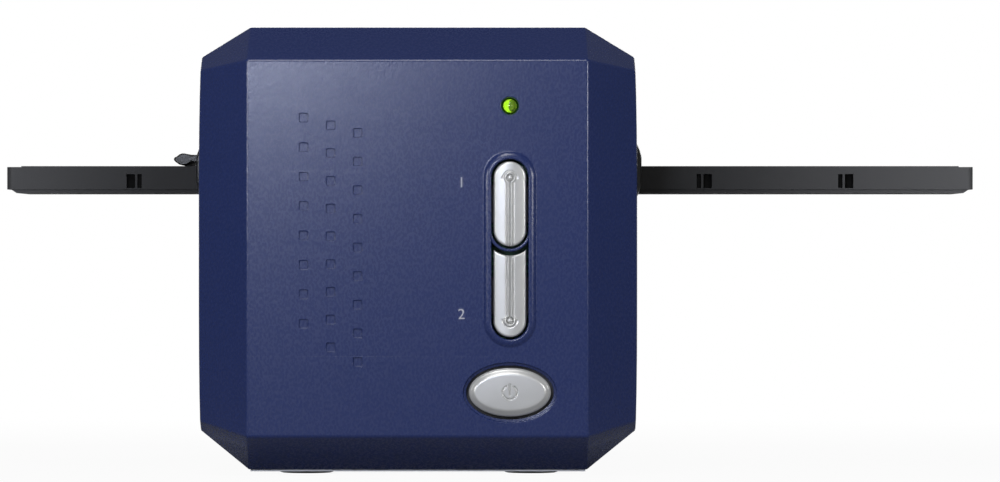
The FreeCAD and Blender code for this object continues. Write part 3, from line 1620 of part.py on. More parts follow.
def flat_run(name, x_size, half_size, thick_size, points, bend_size):
    """A flat cable: straight runs joined by tangent arcs, in one upright plane."""
    x, half_wide, thickness = x_size.value, half_size.value, thick_size.value
    radius = bend_size.value
    spots = [Vector(x, y.value, z.value) for y, z in points]
    edges, last = [], spots[0]
    for before, corner, after in zip(spots, spots[1:], spots[2:]):
        way_in = (corner - before).normalize()
        way_out = (after - corner).normalize()
        turn = way_in.getAngle(way_out)
        back = radius * math.tan(turn / 2)
        start, end = corner - way_in * back, corner + way_out * back
        inward = (way_out - way_in).normalize()
        middle = corner + inward * (radius / math.cos(turn / 2) - radius)
        edges += [Part.LineSegment(last, start).toShape(), Part.Arc(start, middle, end).toShape()]
        last = end
    edges.append(Part.LineSegment(last, spots[-1]).toShape())
    path = Part.Wire(edges)
    first = (spots[1] - spots[0]).normalize()
    across = Vector(1, 0, 0).cross(first)
    corners = [
        spots[0] + Vector(i * half_wide, 0, 0) + across * (j * thickness / 2)
        for i, j in ((-1, -1), (1, -1), (1, 1), (-1, 1), (-1, -1))
    ]
    strip = path.makePipeShell([Part.makePolygon(corners)], True, False)
    expected = 2 * half_wide * thickness * path.Length
    assert abs(strip.Volume - expected) < 0.02 * expected, "a cable has lost its section"
    node(name, solid(f"{name}_form", strip))


def cables():
    """The ribbon to the button board and the flat cable that follows the carriage."""
    plug_z = s.button_board_low + s.ribbon_up
    start_y = board_back_y + s.plug_deep
    down_y = start_y + s.ribbon_lead
    end_y = main_board_y - s.plug_deep / 2
    flat_run("button_cable", s.ribbon_x, s.ribbon_half, s.ribbon_thick, [
        (start_y, plug_z), (down_y, plug_z), (down_y, s.ribbon_z), (end_y, s.ribbon_z),
        (end_y, s.main_board_low + s.plug_up),
    ], s.ribbon_bend)
    board_z = s.main_board_low + s.flat_cable_up
    drop_y = main_board_y - s.flat_cable_drop
    floor_z = chassis_floor + s.flat_cable_over_floor
    high_z = s.carriage_low - s.flat_cable_drop
    up_y = sensor_y + s.board_thick + s.flat_cable_lead
    flat_run("carriage_cable", s.flat_cable_x, s.flat_cable_half, s.flat_cable_thick, [
        (main_board_y, board_z), (drop_y, board_z), (drop_y, floor_z),
        (s.flat_cable_turn_y, floor_z), (s.flat_cable_turn_y, high_z), (up_y, high_z),
        (up_y, s.carriage_low + s.flat_cable_end),
    ], s.flat_cable_bend)


main_board()
sockets()
cables()

doc.recompute()
for thing in doc.Objects:
    assert "Invalid" not in thing.State and "Error" not in thing.State, thing.Label
for name, thing in nodes.items():
    shape = thing.Shape
    assert thing.Label == name, name
    assert not shape.isNull() and shape.isValid() and shape.Volume > 0, name
    print(f"{name}: {len(shape.Solids)} solids, {shape.Volume:.1f} mm3")
    shape.exportStep(f"parts/{name}.step")
print(f"{len(nodes)} pieces written")
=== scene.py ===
import math

import bmesh
import bpy
import numpy as np
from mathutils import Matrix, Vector
from mathutils.geometry import tessellate_polygon


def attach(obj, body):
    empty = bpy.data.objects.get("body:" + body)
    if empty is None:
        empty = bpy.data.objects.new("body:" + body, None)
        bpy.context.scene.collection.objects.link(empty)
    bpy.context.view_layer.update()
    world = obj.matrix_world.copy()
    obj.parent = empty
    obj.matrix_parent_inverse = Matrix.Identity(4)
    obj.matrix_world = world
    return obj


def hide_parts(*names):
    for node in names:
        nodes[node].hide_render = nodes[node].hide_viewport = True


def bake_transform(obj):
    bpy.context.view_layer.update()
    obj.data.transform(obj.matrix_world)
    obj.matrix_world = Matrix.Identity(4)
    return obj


# Film negative scanner. The front faces -Y and +X is to the right as seen from the front. Every
# length here is in millimetres and is turned into metres when a mesh is made.

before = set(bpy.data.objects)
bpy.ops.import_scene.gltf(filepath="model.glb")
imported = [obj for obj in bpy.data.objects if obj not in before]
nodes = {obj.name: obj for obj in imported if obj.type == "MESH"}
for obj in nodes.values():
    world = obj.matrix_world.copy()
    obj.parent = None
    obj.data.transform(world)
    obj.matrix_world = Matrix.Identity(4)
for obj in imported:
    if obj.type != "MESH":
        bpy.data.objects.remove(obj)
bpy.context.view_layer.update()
MM = 0.001

# Housing
HALF_DEPTH, SEAM, SEAM_GAP, WALL = 136.0, 114.0, 0.15, 2.2
SHOULDER = 122.0
TOP, BOTTOM = 118.5, 1.6
SIDE, TOP_HALF, BOTTOM_HALF, FACE_HALF = 58.0, 44.2, 44.7, 44.8
SIDE_HIGH, SIDE_LOW = 110.7, 11.9
FACE_HIGH, FACE_LOW = 109.6, 10.5
CORNER_HIGH, CORNER_LOW = 107.1, 14.3
EDGE_ROUND, SIDE_ROUND, OPENING_ROUND, SEAM_ROUND = 1.1, 1.9, 0.12, 0.3
SIDE_DRAW_IN, DRAW_FROM, MIDDLE_Z = 0.6, 50.0, 59.0
# Points round each rounded corner, the ring corners that the side faces lead to, how much further
# in the inner skin's floor lies, when two ring corners are one, and how firmly a corner is held
# near its first guess
PER_CORNER, RIGHT_SIDE, LEFT_SIDE = 5, 3, 9
FLOOR_INSET, TOGETHER, GUESS_PULL = 0.4, 0.5, 0.004

# Front panel
BUTTON_X = 24.3
SCAN_LOW, SCAN_MID, SCAN_HIGH, SCAN_HOLE = 41.0, 64.85, 78.65, 4.85
WEB_RADIUS, NOTCH_RADIUS, CAP_RADIUS = 5.65, 6.65, 4.25
POWER_Z, POWER_UP, POWER_HOLE = 21.3, 0.9, (11.5, 7.1)
LAMP_Z, LAMP_HOLE, LAMP_RADIUS = 97.5, 2.25, 1.75
SQUARE_HALF, SQUARE_X, SQUARE_PITCH = 1.15, -29.9, 7.1
SQUARE_TOP, SQUARE_STAGGER = 94.4, 2.0
SQUARE_COLUMNS = ((8, 7.73), (9, 7.29), (9, 7.52))

# Slot bezels, flaps and film holder
SLOT_Y, BEZEL_HALF = -61.75, 37.5
BEZEL_LOW, BEZEL_HIGH, BEZEL_PROUD, BEZEL_CURVE = 72.0, 90.0, 3.0, 15.5
THROAT_Y, THROAT_Z = (-91.2, -32.3), (74.2, 86.5)
FLAP_X, FLAP_Z = 57.8, 84.3

# Points closer than this are one; angles in degrees below which faces are joined and above which
# edges are rounded
DOUBLE, FLAT_ANGLE, EDGE_ANGLE, NORMAL_WEIGHT = 0.002, 0.6, 32.0, 80


class Surface:
    """Gathers grids of points and polygons in millimetres and makes one mesh of them."""

    def __init__(self):
        self.points, self.faces, self.smooth, self.count = [], [], [], 0

    def add(self, points, faces, smooth=True):
        """Adds points and the faces between them, given as rows of point numbers."""
        points, faces = np.asarray(points, float), np.asarray(faces, int)
        self.points.append(points)
        self.faces += (faces + self.count).tolist()
        self.smooth += [smooth] * len(faces)
        self.count += len(points)

    def grid(self, points, around=False, along=False, keep=None):
        """Quads between neighbours of points[row, column]. around joins the last column to the
        first, along joins the last row to the first, and keep says which quads are made."""
        rows, columns = points.shape[:2]
        row, column = np.meshgrid(
            np.arange(rows if along else rows - 1),
            np.arange(columns if around else columns - 1), indexing="ij",
        )
        below, beside = (row + 1) % rows, (column + 1) % columns
        quads = np.stack([
            row * columns + column, row * columns + beside,
            below * columns + beside, below * columns + column,
        ], axis=-1)
        quads = quads.reshape(-1, 4) if keep is None else quads[keep]
        self.add(points.reshape(-1, 3), quads)

    def sheet(self, outline, holes=()):
        """A flat face with an outline and holes, each a closed row of points."""
        loops = [np.asarray(loop, float) for loop in (outline, *holes)]
        triangles = tessellate_polygon([[Vector(p) for p in loop] for loop in loops])
        self.add(np.concatenate(loops), triangles, smooth=False)

    def lid(self, loop):
        """One flat polygon that closes a ring of points."""
        self.add(loop, [list(range(len(loop)))], smooth=False)

    def closed(self, rings):
        """A skin through a row of rings, with a flat polygon over the first and over the last."""
        self.grid(np.asarray(rings), around=True)
        self.lid(rings[0])
        self.lid(rings[-1])

    def beam(self, corners):
        """A skin round corners[corner, place] of a section, with a flat polygon at both ends."""
        self.grid(corners, along=True)
        self.lid(corners[:, 0])
        self.lid(corners[:, -1])

    def piece(self, name, finish, body, slot, stands_for=(), crease=38.0):
        """Merges doubles, turns all faces outwards and puts the mesh on its body."""
        mesh = bpy.data.meshes.new(name)
        mesh.from_pydata((np.concatenate(self.points) * MM).tolist(), [], self.faces)
        mesh.polygons.foreach_set("use_smooth", self.smooth)
        work = bmesh.new()
        work.from_mesh(mesh)
        bmesh.ops.remove_doubles(work, verts=work.verts, dist=DOUBLE * MM)
        bmesh.ops.dissolve_degenerate(work, edges=work.edges, dist=DOUBLE / 2 * MM)
        bmesh.ops.recalc_face_normals(work, faces=work.faces)
        work.to_mesh(mesh)
        work.free()
        rounded = np.empty(len(mesh.polygons), bool)
        mesh.polygons.foreach_get("use_smooth", rounded)
        mesh.set_sharp_from_angle(angle=math.radians(crease))
        mesh.polygons.foreach_set("use_smooth", rounded)
        mesh.materials.append(finishes[finish])
        made = placed(name, mesh)
        even_normals(made)
        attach(made, body)
        if stands_for:
            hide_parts(*stands_for)


def placed(name, data):
    """A new object in the scene."""
    made = bpy.data.objects.new(name, data)
    bpy.context.scene.collection.objects.link(made)
    return made


def even_normals(piece):
    """Weighs each corner's normal by the area of its faces, so flat faces stay flat."""
    even = piece.modifiers.new("even_normals", "WEIGHTED_NORMAL")
    even.weight = NORMAL_WEIGHT
    even.keep_sharp = True


def joined(*parts):
    """Points from their coordinates, each an array or one number for all."""
    return np.stack(np.broadcast_arrays(*parts), axis=-1)


def at_depth(path, y):
    """Points (x, z) of a path as points (x, y, z) at one depth."""
    return joined(path[..., 0], y, path[..., 1])


def stadium_path(x, low, high, radius, half_count=48):
    """An upright long hole: a half circle round (x, high) and one round (x, low)."""
    half = np.linspace(0, math.pi, half_count)
    angle = np.concatenate([half, half + math.pi])
    middle = np.repeat([high, low], half_count)
    return joined(x + radius * np.cos(angle), middle + radius * np.sin(angle))


def oval_path(x, z, half_wide, half_tall, count=96):
    """An ellipse: x plus half_wide times cosine, z plus half_tall times sine."""
    angle = np.arange(count) * math.tau / count
    return joined(x + half_wide * np.cos(angle), z + half_tall * np.sin(angle))


def rounded_path(x, z, half_wide, half_tall, radius, steps=4):
    """A rectangle with quarter circles of a radius at its corners."""
    angle = np.linspace(0, math.pi / 2, steps)[None, :] + np.arange(4)[:, None] * math.pi / 2
    corner_x = np.array([1, -1, -1, 1])[:, None] * (half_wide - radius)
    corner_z = np.array([1, 1, -1, -1])[:, None] * (half_tall - radius)
    points = joined(x + corner_x + radius * np.cos(angle), z + corner_z + radius * np.sin(angle))
    return points.reshape(-1, 2)


def ring_stack(path, steps):
    """Rings along Y: the path that path(outset) gives, at each (outset, depth) of steps."""
    return np.array([at_depth(path(out), depth) for out, depth in steps])


def circle(x, z, count):
    """A function that gives the circle of a radius round (x, z)."""
    return lambda radius: oval_path(x, z, radius, radius, count)


def rectangle_edge(grid):
    """The four edges of a grid of points, as one closed row."""
    return np.concatenate([grid[0], grid[1:, -1], grid[-1, -2::-1], grid[-2:0:-1, 0]])


def bell(t):
    """A smooth bump: one at t = 0, falling to nothing at t = 1 and beyond."""
    return np.clip(1 - np.asarray(t) ** 2, 0, 1) ** 2


def ease(t):
    """A smooth step from nothing at t = 0 to one at t = 1."""
    t = np.clip(t, 0, 1)
    return t * t * (3 - 2 * t)


# Materials

class Graph:
    """The nodes of a material or of the world. A source is a node, which stands for its first
    output, or a pair of a node and the name of its output."""

    def __init__(self, owner):
        owner.use_nodes = True
        self.tree = owner.node_tree

    def put(self, node, values):
        """Sets inputs by name or number."""
        for key, value in dict(values).items():
            node.inputs[key].default_value = value

    def wire(self, node, sources):
        """Feeds inputs, by name or number, from sources."""
        for key, source in dict(sources).items():
            start, output = source if isinstance(source, tuple) else (source, 0)
            self.tree.links.new(start.outputs[output], node.inputs[key])

    def add(self, kind, sources=(), values=(), **settings):
        """A new shader node with its sources, values and settings."""
        node = self.tree.nodes.new("ShaderNode" + kind)
        for key, value in settings.items():
            setattr(node, key, value)
        self.put(node, values)
        self.wire(node, sources)
        return node


finishes = {}


def new_material(name):
    """The shader and the nodes of a new finish, and the source of its place on the object."""
    finishes[name] = bpy.data.materials.new(name)
    graph = Graph(finishes[name])
    shader = graph.tree.nodes["Principled BSDF"]
    return shader, graph, (graph.add("TexCoord"), "Object")


def span(low, high, first=0.0, last=1.0):
    """The inputs of a range node that takes low to first and high to last."""
    return {"From Min": low, "From Max": high, "To Min": first, "To Max": last}


def two_tones(graph, place, scale, colour, shade, detail=2.0):
    """Two colours mixed by a noise."""
    noise = graph.add("TexNoise", {"Vector": place}, {"Scale": scale, "Detail": detail})
    return graph.add("MixRGB", {"Fac": noise}, {"Color1": (*colour, 1), "Color2": (*shade, 1)})


def surface_finish(name, colour, shade, rough, grain, height, stretch=(1.0, 1.0, 1.0),
                   blotch=14.0, spread=0.08, **inputs):
    """Colour wanders between two tones over blotches, and a fine noise of grain millimetres
    gives specks, the roughness and a bump of height millimetres. stretch lengthens the grain."""
    shader, graph, place = new_material(name)
    run = graph.add("Mapping", {"Vector": place}, {"Scale": [1 / s for s in stretch]})
    fine = graph.add("TexNoise", {"Vector": run},
                     {"Scale": 1 / (grain * MM), "Detail": 3.0, "Roughness": 0.6})
    tone = two_tones(graph, place, 1 / (blotch * MM), colour, shade)
    specks = graph.add("MapRange", {"Value": fine}, span(0.35, 0.75, 0.0, 0.35))
    speckled = graph.add("MixRGB", {"Fac": specks, "Color1": tone}, {"Color2": (*shade, 1)})
    gloss = graph.add("MapRange", {"Value": fine}, span(0.3, 0.7, rough - spread, rough + spread))
    bump = graph.add("Bump", {"Height": fine}, {"Strength": 1.0, "Distance": height * MM})
    graph.wire(shader, {"Base Color": speckled, "Roughness": gloss, "Normal": bump})
    graph.put(shader, {key.replace("_", " "): value for key, value in inputs.items()})


def leather_plastic():
    """Navy moulded plastic: pebbles from a cell pattern drawn out upwards, over a fine noise."""
    shader, graph, place = new_material("leather_grain_blue")
    run = graph.add("Mapping", {"Vector": place}, {"Scale": (1.0, 1.0, 0.62)})
    sway = graph.add("TexNoise", {"Vector": run}, {"Scale": 1500.0, "Detail": 2.0})
    cells = graph.add("TexVoronoi", {"Vector": run}, {"Scale": 1900.0, "Smoothness": 0.6},
                      feature="SMOOTH_F1")
    blend = graph.add("Math", {0: sway}, {1: 0.7}, operation="MULTIPLY")
    pebble = graph.add("Math", {0: cells, 1: blend}, operation="ADD")
    tone = two_tones(graph, place, 45.0, (0.0075, 0.0205, 0.100), (0.0125, 0.0240, 0.107), 3.0)
    pits = graph.add("MapRange", {"Value": pebble}, span(0.35, 1.1, 0.0, 0.12))
    pitted = graph.add("MixRGB", {"Fac": pits, "Color1": tone},
                       {"Color2": (0.014, 0.025, 0.096, 1)})
    gloss = graph.add("MapRange", {"Value": pebble}, span(0.3, 1.1, 0.215, 0.30))
    bump = graph.add("Bump", {"Height": pebble}, {"Strength": 1.0, "Distance": 0.016 * MM})
    graph.wire(shader, {"Base Color": pitted, "Roughness": gloss, "Normal": bump})
    graph.put(shader, {"Specular IOR Level": 0.6})


def painted_lit_ends(finish, colour, start, end, most):
    """Mixes a paler colour into a finish with the distance from the middle along X: painted light
    that stands for the lamps lighting the holder's ends more than its middle."""
    graph = Graph(finishes[finish])
    shader = graph.tree.nodes["Principled BSDF"]
    before = shader.inputs["Base Color"].links[0].from_node
    split = graph.add("SeparateXYZ", {"Vector": (graph.add("TexCoord"), "Object")})
    away = graph.add("Math", {0: split}, operation="ABSOLUTE")
    painted_light_share = graph.add("MapRange", {"Value": away}, span(start * MM, end * MM, 0.0, most))
    mix = graph.add("MixRGB", {"Fac": painted_light_share, "Color1": before}, {"Color2": (*colour, 1)})
    graph.wire(shader, {"Base Color": mix})


def circuit_board():
    """Green solder mask: a brick pattern whose pale joints are the tracks, and round pads in the
    middle of a cell pattern's cells."""
    shader, graph, place = new_material("solder_mask_green")
    split = graph.add("SeparateXYZ", {"Vector": place})
    flat = graph.add("CombineXYZ", {"X": split, "Y": (split, "Z")})
    tracks = graph.add("TexBrick", {"Vector": flat}, {
        "Scale": 60.0, "Mortar Size": 0.022, "Brick Width": 0.9, "Row Height": 0.12,
        "Color1": (0.012, 0.10, 0.045, 1), "Color2": (0.010, 0.085, 0.038, 1),
        "Mortar": (0.055, 0.22, 0.10, 1),
    })
    spots = graph.add("TexVoronoi", {"Vector": place}, {"Scale": 420.0})
    pad = graph.add("Math", {0: spots}, {1: 0.14}, operation="LESS_THAN")
    pads = graph.add("MixRGB", {"Fac": pad, "Color1": tracks}, {"Color2": (0.55, 0.56, 0.52, 1)})
    bump = graph.add("Bump", {"Height": (tracks, "Fac")},
                     {"Strength": 0.5, "Distance": 0.05 * MM})
    graph.wire(shader, {"Base Color": pads, "Normal": bump})
    graph.put(shader, {"Roughness": 0.32})


def lamp_glass():
    """Clear lime resin of the status lamp."""
    shader, graph, place = new_material("lime_resin")
    tint = two_tones(graph, place, 1400.0, (0.62, 0.95, 0.05), (0.45, 0.80, 0.03))
    graph.wire(shader, {"Base Color": tint})
    graph.put(shader, {"Roughness": 0.08, "Transmission Weight": 0.85, "IOR": 1.5})


def lamp_glow():
    """The lit cup inside the status lamp."""
    shader, graph, place = new_material("lamp_cup_glow")
    tint = two_tones(graph, place, 900.0, (0.80, 1.0, 0.25), (0.55, 0.90, 0.06))
    graph.wire(shader, {"Base Color": tint, "Emission Color": tint})
    graph.put(shader, {"Emission Strength": 0.55})


# Colour, shade, roughness, grain and bump height in millimetres, and what else a finish sets
METAL = {"Metallic": 1.0}
FINISHES = {
    "satin_grey_plastic": ((0.62, 0.63, 0.66), (0.54, 0.55, 0.58), 0.48, 0.6, 0.02, {}),
    "foot_rubber": ((0.006, 0.006, 0.007), (0.013, 0.013, 0.014), 0.62, 0.5, 0.03, {}),
    "plated_screw_steel": ((0.62, 0.62, 0.6), (0.45, 0.45, 0.44), 0.3, 0.4, 0.01, METAL),
    "satin_silver": ((0.68, 0.68, 0.665), (0.54, 0.54, 0.525), 0.36, 0.16, 0.006,
                     {"blotch": 9.0, "spread": 0.06, "Metallic": 0.6}),
    "switch_plastic": ((0.02, 0.02, 0.022), (0.035, 0.035, 0.037), 0.42, 0.3, 0.01, {}),
    "holder_plastic": ((0.007, 0.007, 0.0072), (0.01, 0.01, 0.01), 0.5, 0.25, 0.01,
                       {"stretch": (3.0, 1.0, 1.0), "Specular_IOR_Level": 0.2}),
    # painted shade: near-black for the pads in the holder's recesses, darker than the holder
    # itself
    "recess_shade_black": ((0.0015, 0.0015, 0.0015), (0.003, 0.003, 0.003), 0.8, 0.3, 0.01,
                     {"Specular_IOR_Level": 0.1}),
    "ground_pin_steel": ((0.66, 0.66, 0.66), (0.52, 0.52, 0.53), 0.22, 0.25, 0.006,
                         {"stretch": (4.0, 4.0, 1.0), **METAL}),
    "bezel_plastic": ((0.007, 0.0075, 0.0075), (0.011, 0.0115, 0.0115), 0.36, 0.3, 0.01, {}),
    "zinc_plated_sheet": ((0.56, 0.57, 0.55), (0.4, 0.42, 0.43), 0.34, 2.2, 0.02,
                          {"blotch": 7.0, **METAL}),
    "rail_nylon": ((0.018, 0.018, 0.019), (0.03, 0.03, 0.031), 0.38, 0.3, 0.01, {}),
    "sintered_bronze": ((0.42, 0.25, 0.11), (0.3, 0.17, 0.07), 0.42, 0.25, 0.02, METAL),
    "front_silvered_mirror": ((0.9, 0.91, 0.92), (0.86, 0.87, 0.89), 0.04, 5.0, 0.001,
                              {"spread": 0.02, **METAL}),
    "coated_lens_glass": ((0.93, 0.95, 1.0), (0.88, 0.92, 0.99), 0.05, 4.0, 0.001,
                          {"spread": 0.03, "Transmission_Weight": 1.0, "IOR": 1.55}),
    "opal_lamp_white": ((0.86, 0.87, 0.84), (0.78, 0.79, 0.77), 0.35, 0.8, 0.008, {}),
    "acetal_white": ((0.78, 0.77, 0.72), (0.68, 0.67, 0.62), 0.36, 0.5, 0.008, {}),
    "brushed_motor_steel": ((0.5, 0.5, 0.49), (0.36, 0.36, 0.36), 0.34, 0.2, 0.01,
                            {"stretch": (6.0, 1.0, 1.0), **METAL}),
    "belt_rubber": ((0.014, 0.014, 0.014), (0.028, 0.028, 0.028), 0.66, 0.35, 0.03, {}),
    "nickel_socket": ((0.68, 0.67, 0.63), (0.52, 0.51, 0.48), 0.26, 0.5, 0.008, METAL),
    "jack_plastic": ((0.016, 0.016, 0.017), (0.03, 0.03, 0.031), 0.44, 0.4, 0.012, {}),
    "flat_cable": ((0.52, 0.53, 0.54), (0.4, 0.41, 0.43), 0.5, 1.27, 0.05,
                   {"stretch": (1.0, 60.0, 60.0)}),
    "printed_ink": ((0.5, 0.5, 0.55), (0.42, 0.42, 0.47), 0.5, 0.2, 0.004, {}),
    "lamp_carrier_olive": ((0.1, 0.16, 0.01), (0.05, 0.09, 0.008), 0.4, 0.2, 0.01, {}),
}
for name, (*look, more) in FINISHES.items():
    surface_finish(name, *look, **more)
leather_plastic()
circuit_board()
lamp_glass()
lamp_glow()
# painted light: the holder's ends are made paler, as the lamps light them more than the middle
painted_lit_ends("holder_plastic", (0.105, 0.106, 0.110), 70, 152, 0.85)

# Housing form

CENTRE = np.array([0.0, 0.0, (TOP + BOTTOM) / 2])


def plane(a, b, c):
    """The unit normal that points away from the housing's middle, and its distance along it."""
    a, b, c = (np.array(p, float) for p in (a, b, c))
    normal = np.cross(b - a, c - a)
    normal /= np.linalg.norm(normal)
    normal *= 1 if normal @ (a - CENTRE) > 0 else -1
    return np.append(normal, normal @ a)


def mirrored(plane_right):
    """The same plane on the left side."""
    return plane_right * np.array([-1, 1, 1, 1])


# Corners d on the panel, a on the top or bottom face and c on the side, of the upper and of the
# lower corner facet, then the planes of the faces
corner_d = (FACE_HALF, -HALF_DEPTH, FACE_HIGH)
corner_a = (TOP_HALF, -SHOULDER, TOP)
corner_c = (SIDE, -SHOULDER, CORNER_HIGH)
low_d = (FACE_HALF, -HALF_DEPTH, FACE_LOW)
low_a = (BOTTOM_HALF, -SHOULDER, BOTTOM)
low_c = (SIDE, -SHOULDER, CORNER_LOW)
face_plane = np.array([0, -1, 0, HALF_DEPTH])
top_plane = np.array([0, 0, 1, TOP])
bottom_plane = np.array([0, 0, -1, -BOTTOM])
side_plane = np.array([1, 0, 0, SIDE])
seam_plane = np.array([0, 1, 0, -SEAM])
top_ledge = plane((TOP_HALF, 0, TOP), (TOP_HALF, 1, TOP), (SIDE, 0, SIDE_HIGH))
low_ledge = plane((BOTTOM_HALF, 0, BOTTOM), (BOTTOM_HALF, 1, BOTTOM), (SIDE, 0, SIDE_LOW))
top_front = plane((0, -HALF_DEPTH, FACE_HIGH), (1, -HALF_DEPTH, FACE_HIGH), (0, -SHOULDER, TOP))
low_front = plane((0, -HALF_DEPTH, FACE_LOW), (1, -HALF_DEPTH, FACE_LOW), (0, -SHOULDER, BOTTOM))
side_front = plane((FACE_HALF, -HALF_DEPTH, 0), (FACE_HALF, -HALF_DEPTH, 1), (SIDE, -SHOULDER, 0))
top_corner = plane(corner_d, corner_a, corner_c)
low_corner = plane(low_d, low_a, low_c)


def all_round(right):
    """The planes of the right half, from below upwards, with the left half's after them."""
    *half, top, bottom = right
    return np.array([*half, top, *[mirrored(p) for p in reversed(half)], bottom])


# The planes of five bands from the panel to the seam. In each band, one plane lies between two of
# the twelve ring corners, and the last is the lower one, open behind the front bevel.
COLUMNS, FLOOR_COLUMN = 12, 11
BANDS = np.array([
    np.tile(face_plane, (COLUMNS, 1)),
    all_round([low_corner, low_corner, side_front, top_corner, top_corner, top_front, low_front]),
    all_round([low_ledge, low_corner, side_plane, top_corner, top_ledge, top_plane, bottom_plane]),
    all_round([low_ledge, low_ledge, side_plane, top_ledge, top_ledge, top_plane, bottom_plane]),
    np.tile(seam_plane, (COLUMNS, 1)),
])
SEAM_BAND = len(BANDS) - 1


def edge_end(corner, z):
    """Where the corner facet runs out, on the long edge of the side at height z."""
    return (corner[3] - corner[0] * SIDE - corner[2] * z) / corner[1]


# Where each ring corner of the four stations is looked for, on the right and then on the left
top_end, low_end = edge_end(top_corner, SIDE_HIGH), edge_end(low_corner, SIDE_LOW)
GUESS_RIGHT = np.array([
    [low_d, low_d, low_d, corner_d, corner_d, corner_d],
    [low_a, low_a, low_c, corner_c, corner_a, corner_a],
    *([(BOTTOM_HALF, low, BOTTOM), (SIDE, low, SIDE_LOW), (SIDE, low, SIDE_LOW),
       (SIDE, high, SIDE_HIGH), (SIDE, high, SIDE_HIGH), (TOP_HALF, high, TOP)]
      for low, high in ((low_end, top_end), (-SEAM, -SEAM))),
])
GUESS = np.concatenate([GUESS_RIGHT, GUESS_RIGHT[:, ::-1] * np.array([-1, 1, 1])], axis=1)


def form_grid(inset, radius):
    """The housing's front part as a grid of station rows and ring columns. Each of the twelve
    ring corners is the least squares meeting point of the planes round it, each moved in by the
    inset and the rounding radius, and corners that lie together share one; the surface there is
    that point plus the radius times a unit normal that turns in equal steps from plane to plane,
    both round the ring and along the depth."""
    moved = BANDS.copy()
    moved[:SEAM_BAND, :, 3] -= inset
    moved[:SEAM_BAND, FLOOR_COLUMN, 3] -= FLOOR_INSET if inset else 0
    rows = []
    for station in range(SEAM_BAND):
        columns = []
        for i in range(COLUMNS):
            around = [moved[b, c] for b in (station, station + 1) for c in (i - 1, i)]
            round_off = radius[station, i]
            apart = np.linalg.norm(GUESS[station] - GUESS[station, i], axis=-1)
            sharing = [
                moved[b, c] for k in np.flatnonzero(apart < TOGETHER)
                for b in (station, station + 1) for c in (k - 1, k)
            ]
            meet = np.unique(np.round(sharing, 9), axis=0)
            meet[:, 3] -= round_off
            matrix = np.concatenate([meet[:, :3], np.eye(3) * GUESS_PULL])
            values = np.concatenate([meet[:, 3], GUESS[station, i] * GUESS_PULL])
            corner = np.linalg.lstsq(matrix, values, rcond=None)[0]
            turn = np.linspace(0, 1, PER_CORNER)
            a, b = turn[None, :, None], turn[:, None, None]
            n = [p[:3] for p in around]
            normal = (1 - a) * (1 - b) * n[0] + a * (1 - b) * n[1]
            normal = normal + (1 - a) * b * n[2] + a * b * n[3]
            normal /= np.linalg.norm(normal, axis=-1, keepdims=True)
            columns.append(corner + round_off * normal)
        rows.append(np.concatenate(columns, axis=1))
    return np.concatenate(rows, axis=0)


def draw_in(points):
    """The sides stand widest at half height and draw in towards top and bottom, by the fourth
    power of the height from the middle."""
    points = points.copy()
    share = np.clip(np.abs(points[..., 2] - MIDDLE_Z) / (SIDE_HIGH - MIDDLE_Z), 0, 1) ** 4
    weight = ease((np.abs(points[..., 0]) - DRAW_FROM) / (SIDE - DRAW_FROM))
    points[..., 0] -= np.sign(points[..., 0]) * SIDE_DRAW_IN * share * weight
    return points


def with_side_rows(grid, heights):
    """Puts more columns into both side faces of a ring grid, at given heights."""
    heights = np.asarray(heights, float)

    def between(left, right, order):
        low, high = grid[:, left], grid[:, right]
        share = (order[None, :] - low[:, None, 2]) / (high[:, None, 2] - low[:, None, 2])
        return low[:, None] + (high - low)[:, None] * share[..., None]

    first, second = RIGHT_SIDE * PER_CORNER, LEFT_SIDE * PER_CORNER
    right = between(first - 1, first, heights)
    left = between(second - 1, second, heights[::-1])
    return np.concatenate(
        [grid[:, :first], right, grid[:, first:second], left, grid[:, second:]], axis=1,
    )


def radii(edge, side, opening, seam):
    """Rounding radius at each station and ring corner."""
    table = np.full((SEAM_BAND, COLUMNS), float(edge))
    table[2:, [1, 2, 3, 4, 7, 8, 9, 10]] = side
    table[1:, [0, 11]] = opening
    table[1, [1, 10]] = opening
    table[3] = np.minimum(table[3], seam)
    return table


SIDE_HEIGHTS = np.linspace(22, 100, 9)
INNER_ROUND, INNER_OPENING_ROUND = 0.35, 0.05
outer_radii = radii(EDGE_ROUND, SIDE_ROUND, OPENING_ROUND, SEAM_ROUND)
outer_radii[2] = outer_radii[1]
inner_radii = radii(INNER_ROUND, INNER_ROUND, INNER_OPENING_ROUND, INNER_OPENING_ROUND)
COVER_OUT = draw_in(with_side_rows(form_grid(0.0, outer_radii), SIDE_HEIGHTS))
COVER_IN = draw_in(with_side_rows(form_grid(WALL, inner_radii), SIDE_HEIGHTS))
OPEN_ROW = 2 * PER_CORNER - 1


def opening_loop(grid):
    """The edge of the base opening and of the seam, as one closed row of points."""
    return np.concatenate([grid[OPEN_ROW:, 0], grid[-1, 1:], grid[-2:OPEN_ROW - 1:-1, -1]])


def cover_skin(surface, flip, panel_holes, inner_holes):
    """Outer and inner skin of a cover, the flat panel with its holes, and the closed edge. flip
    is 1 for the front and -1 for the rear."""
    turn = np.array([1, flip, 1])
    rows, columns = COVER_OUT.shape[:2]
    keep = np.ones((rows - 1, columns), bool)
    keep[OPEN_ROW:, -1] = False
    for grid in (COVER_OUT, COVER_IN):
        surface.grid(grid * turn, around=True, keep=keep)
    surface.grid(np.stack([opening_loop(COVER_OUT), opening_loop(COVER_IN)]) * turn, around=True)
    surface.sheet(COVER_OUT[0] * turn, panel_holes)
    surface.sheet(COVER_IN[0] * turn, inner_holes)


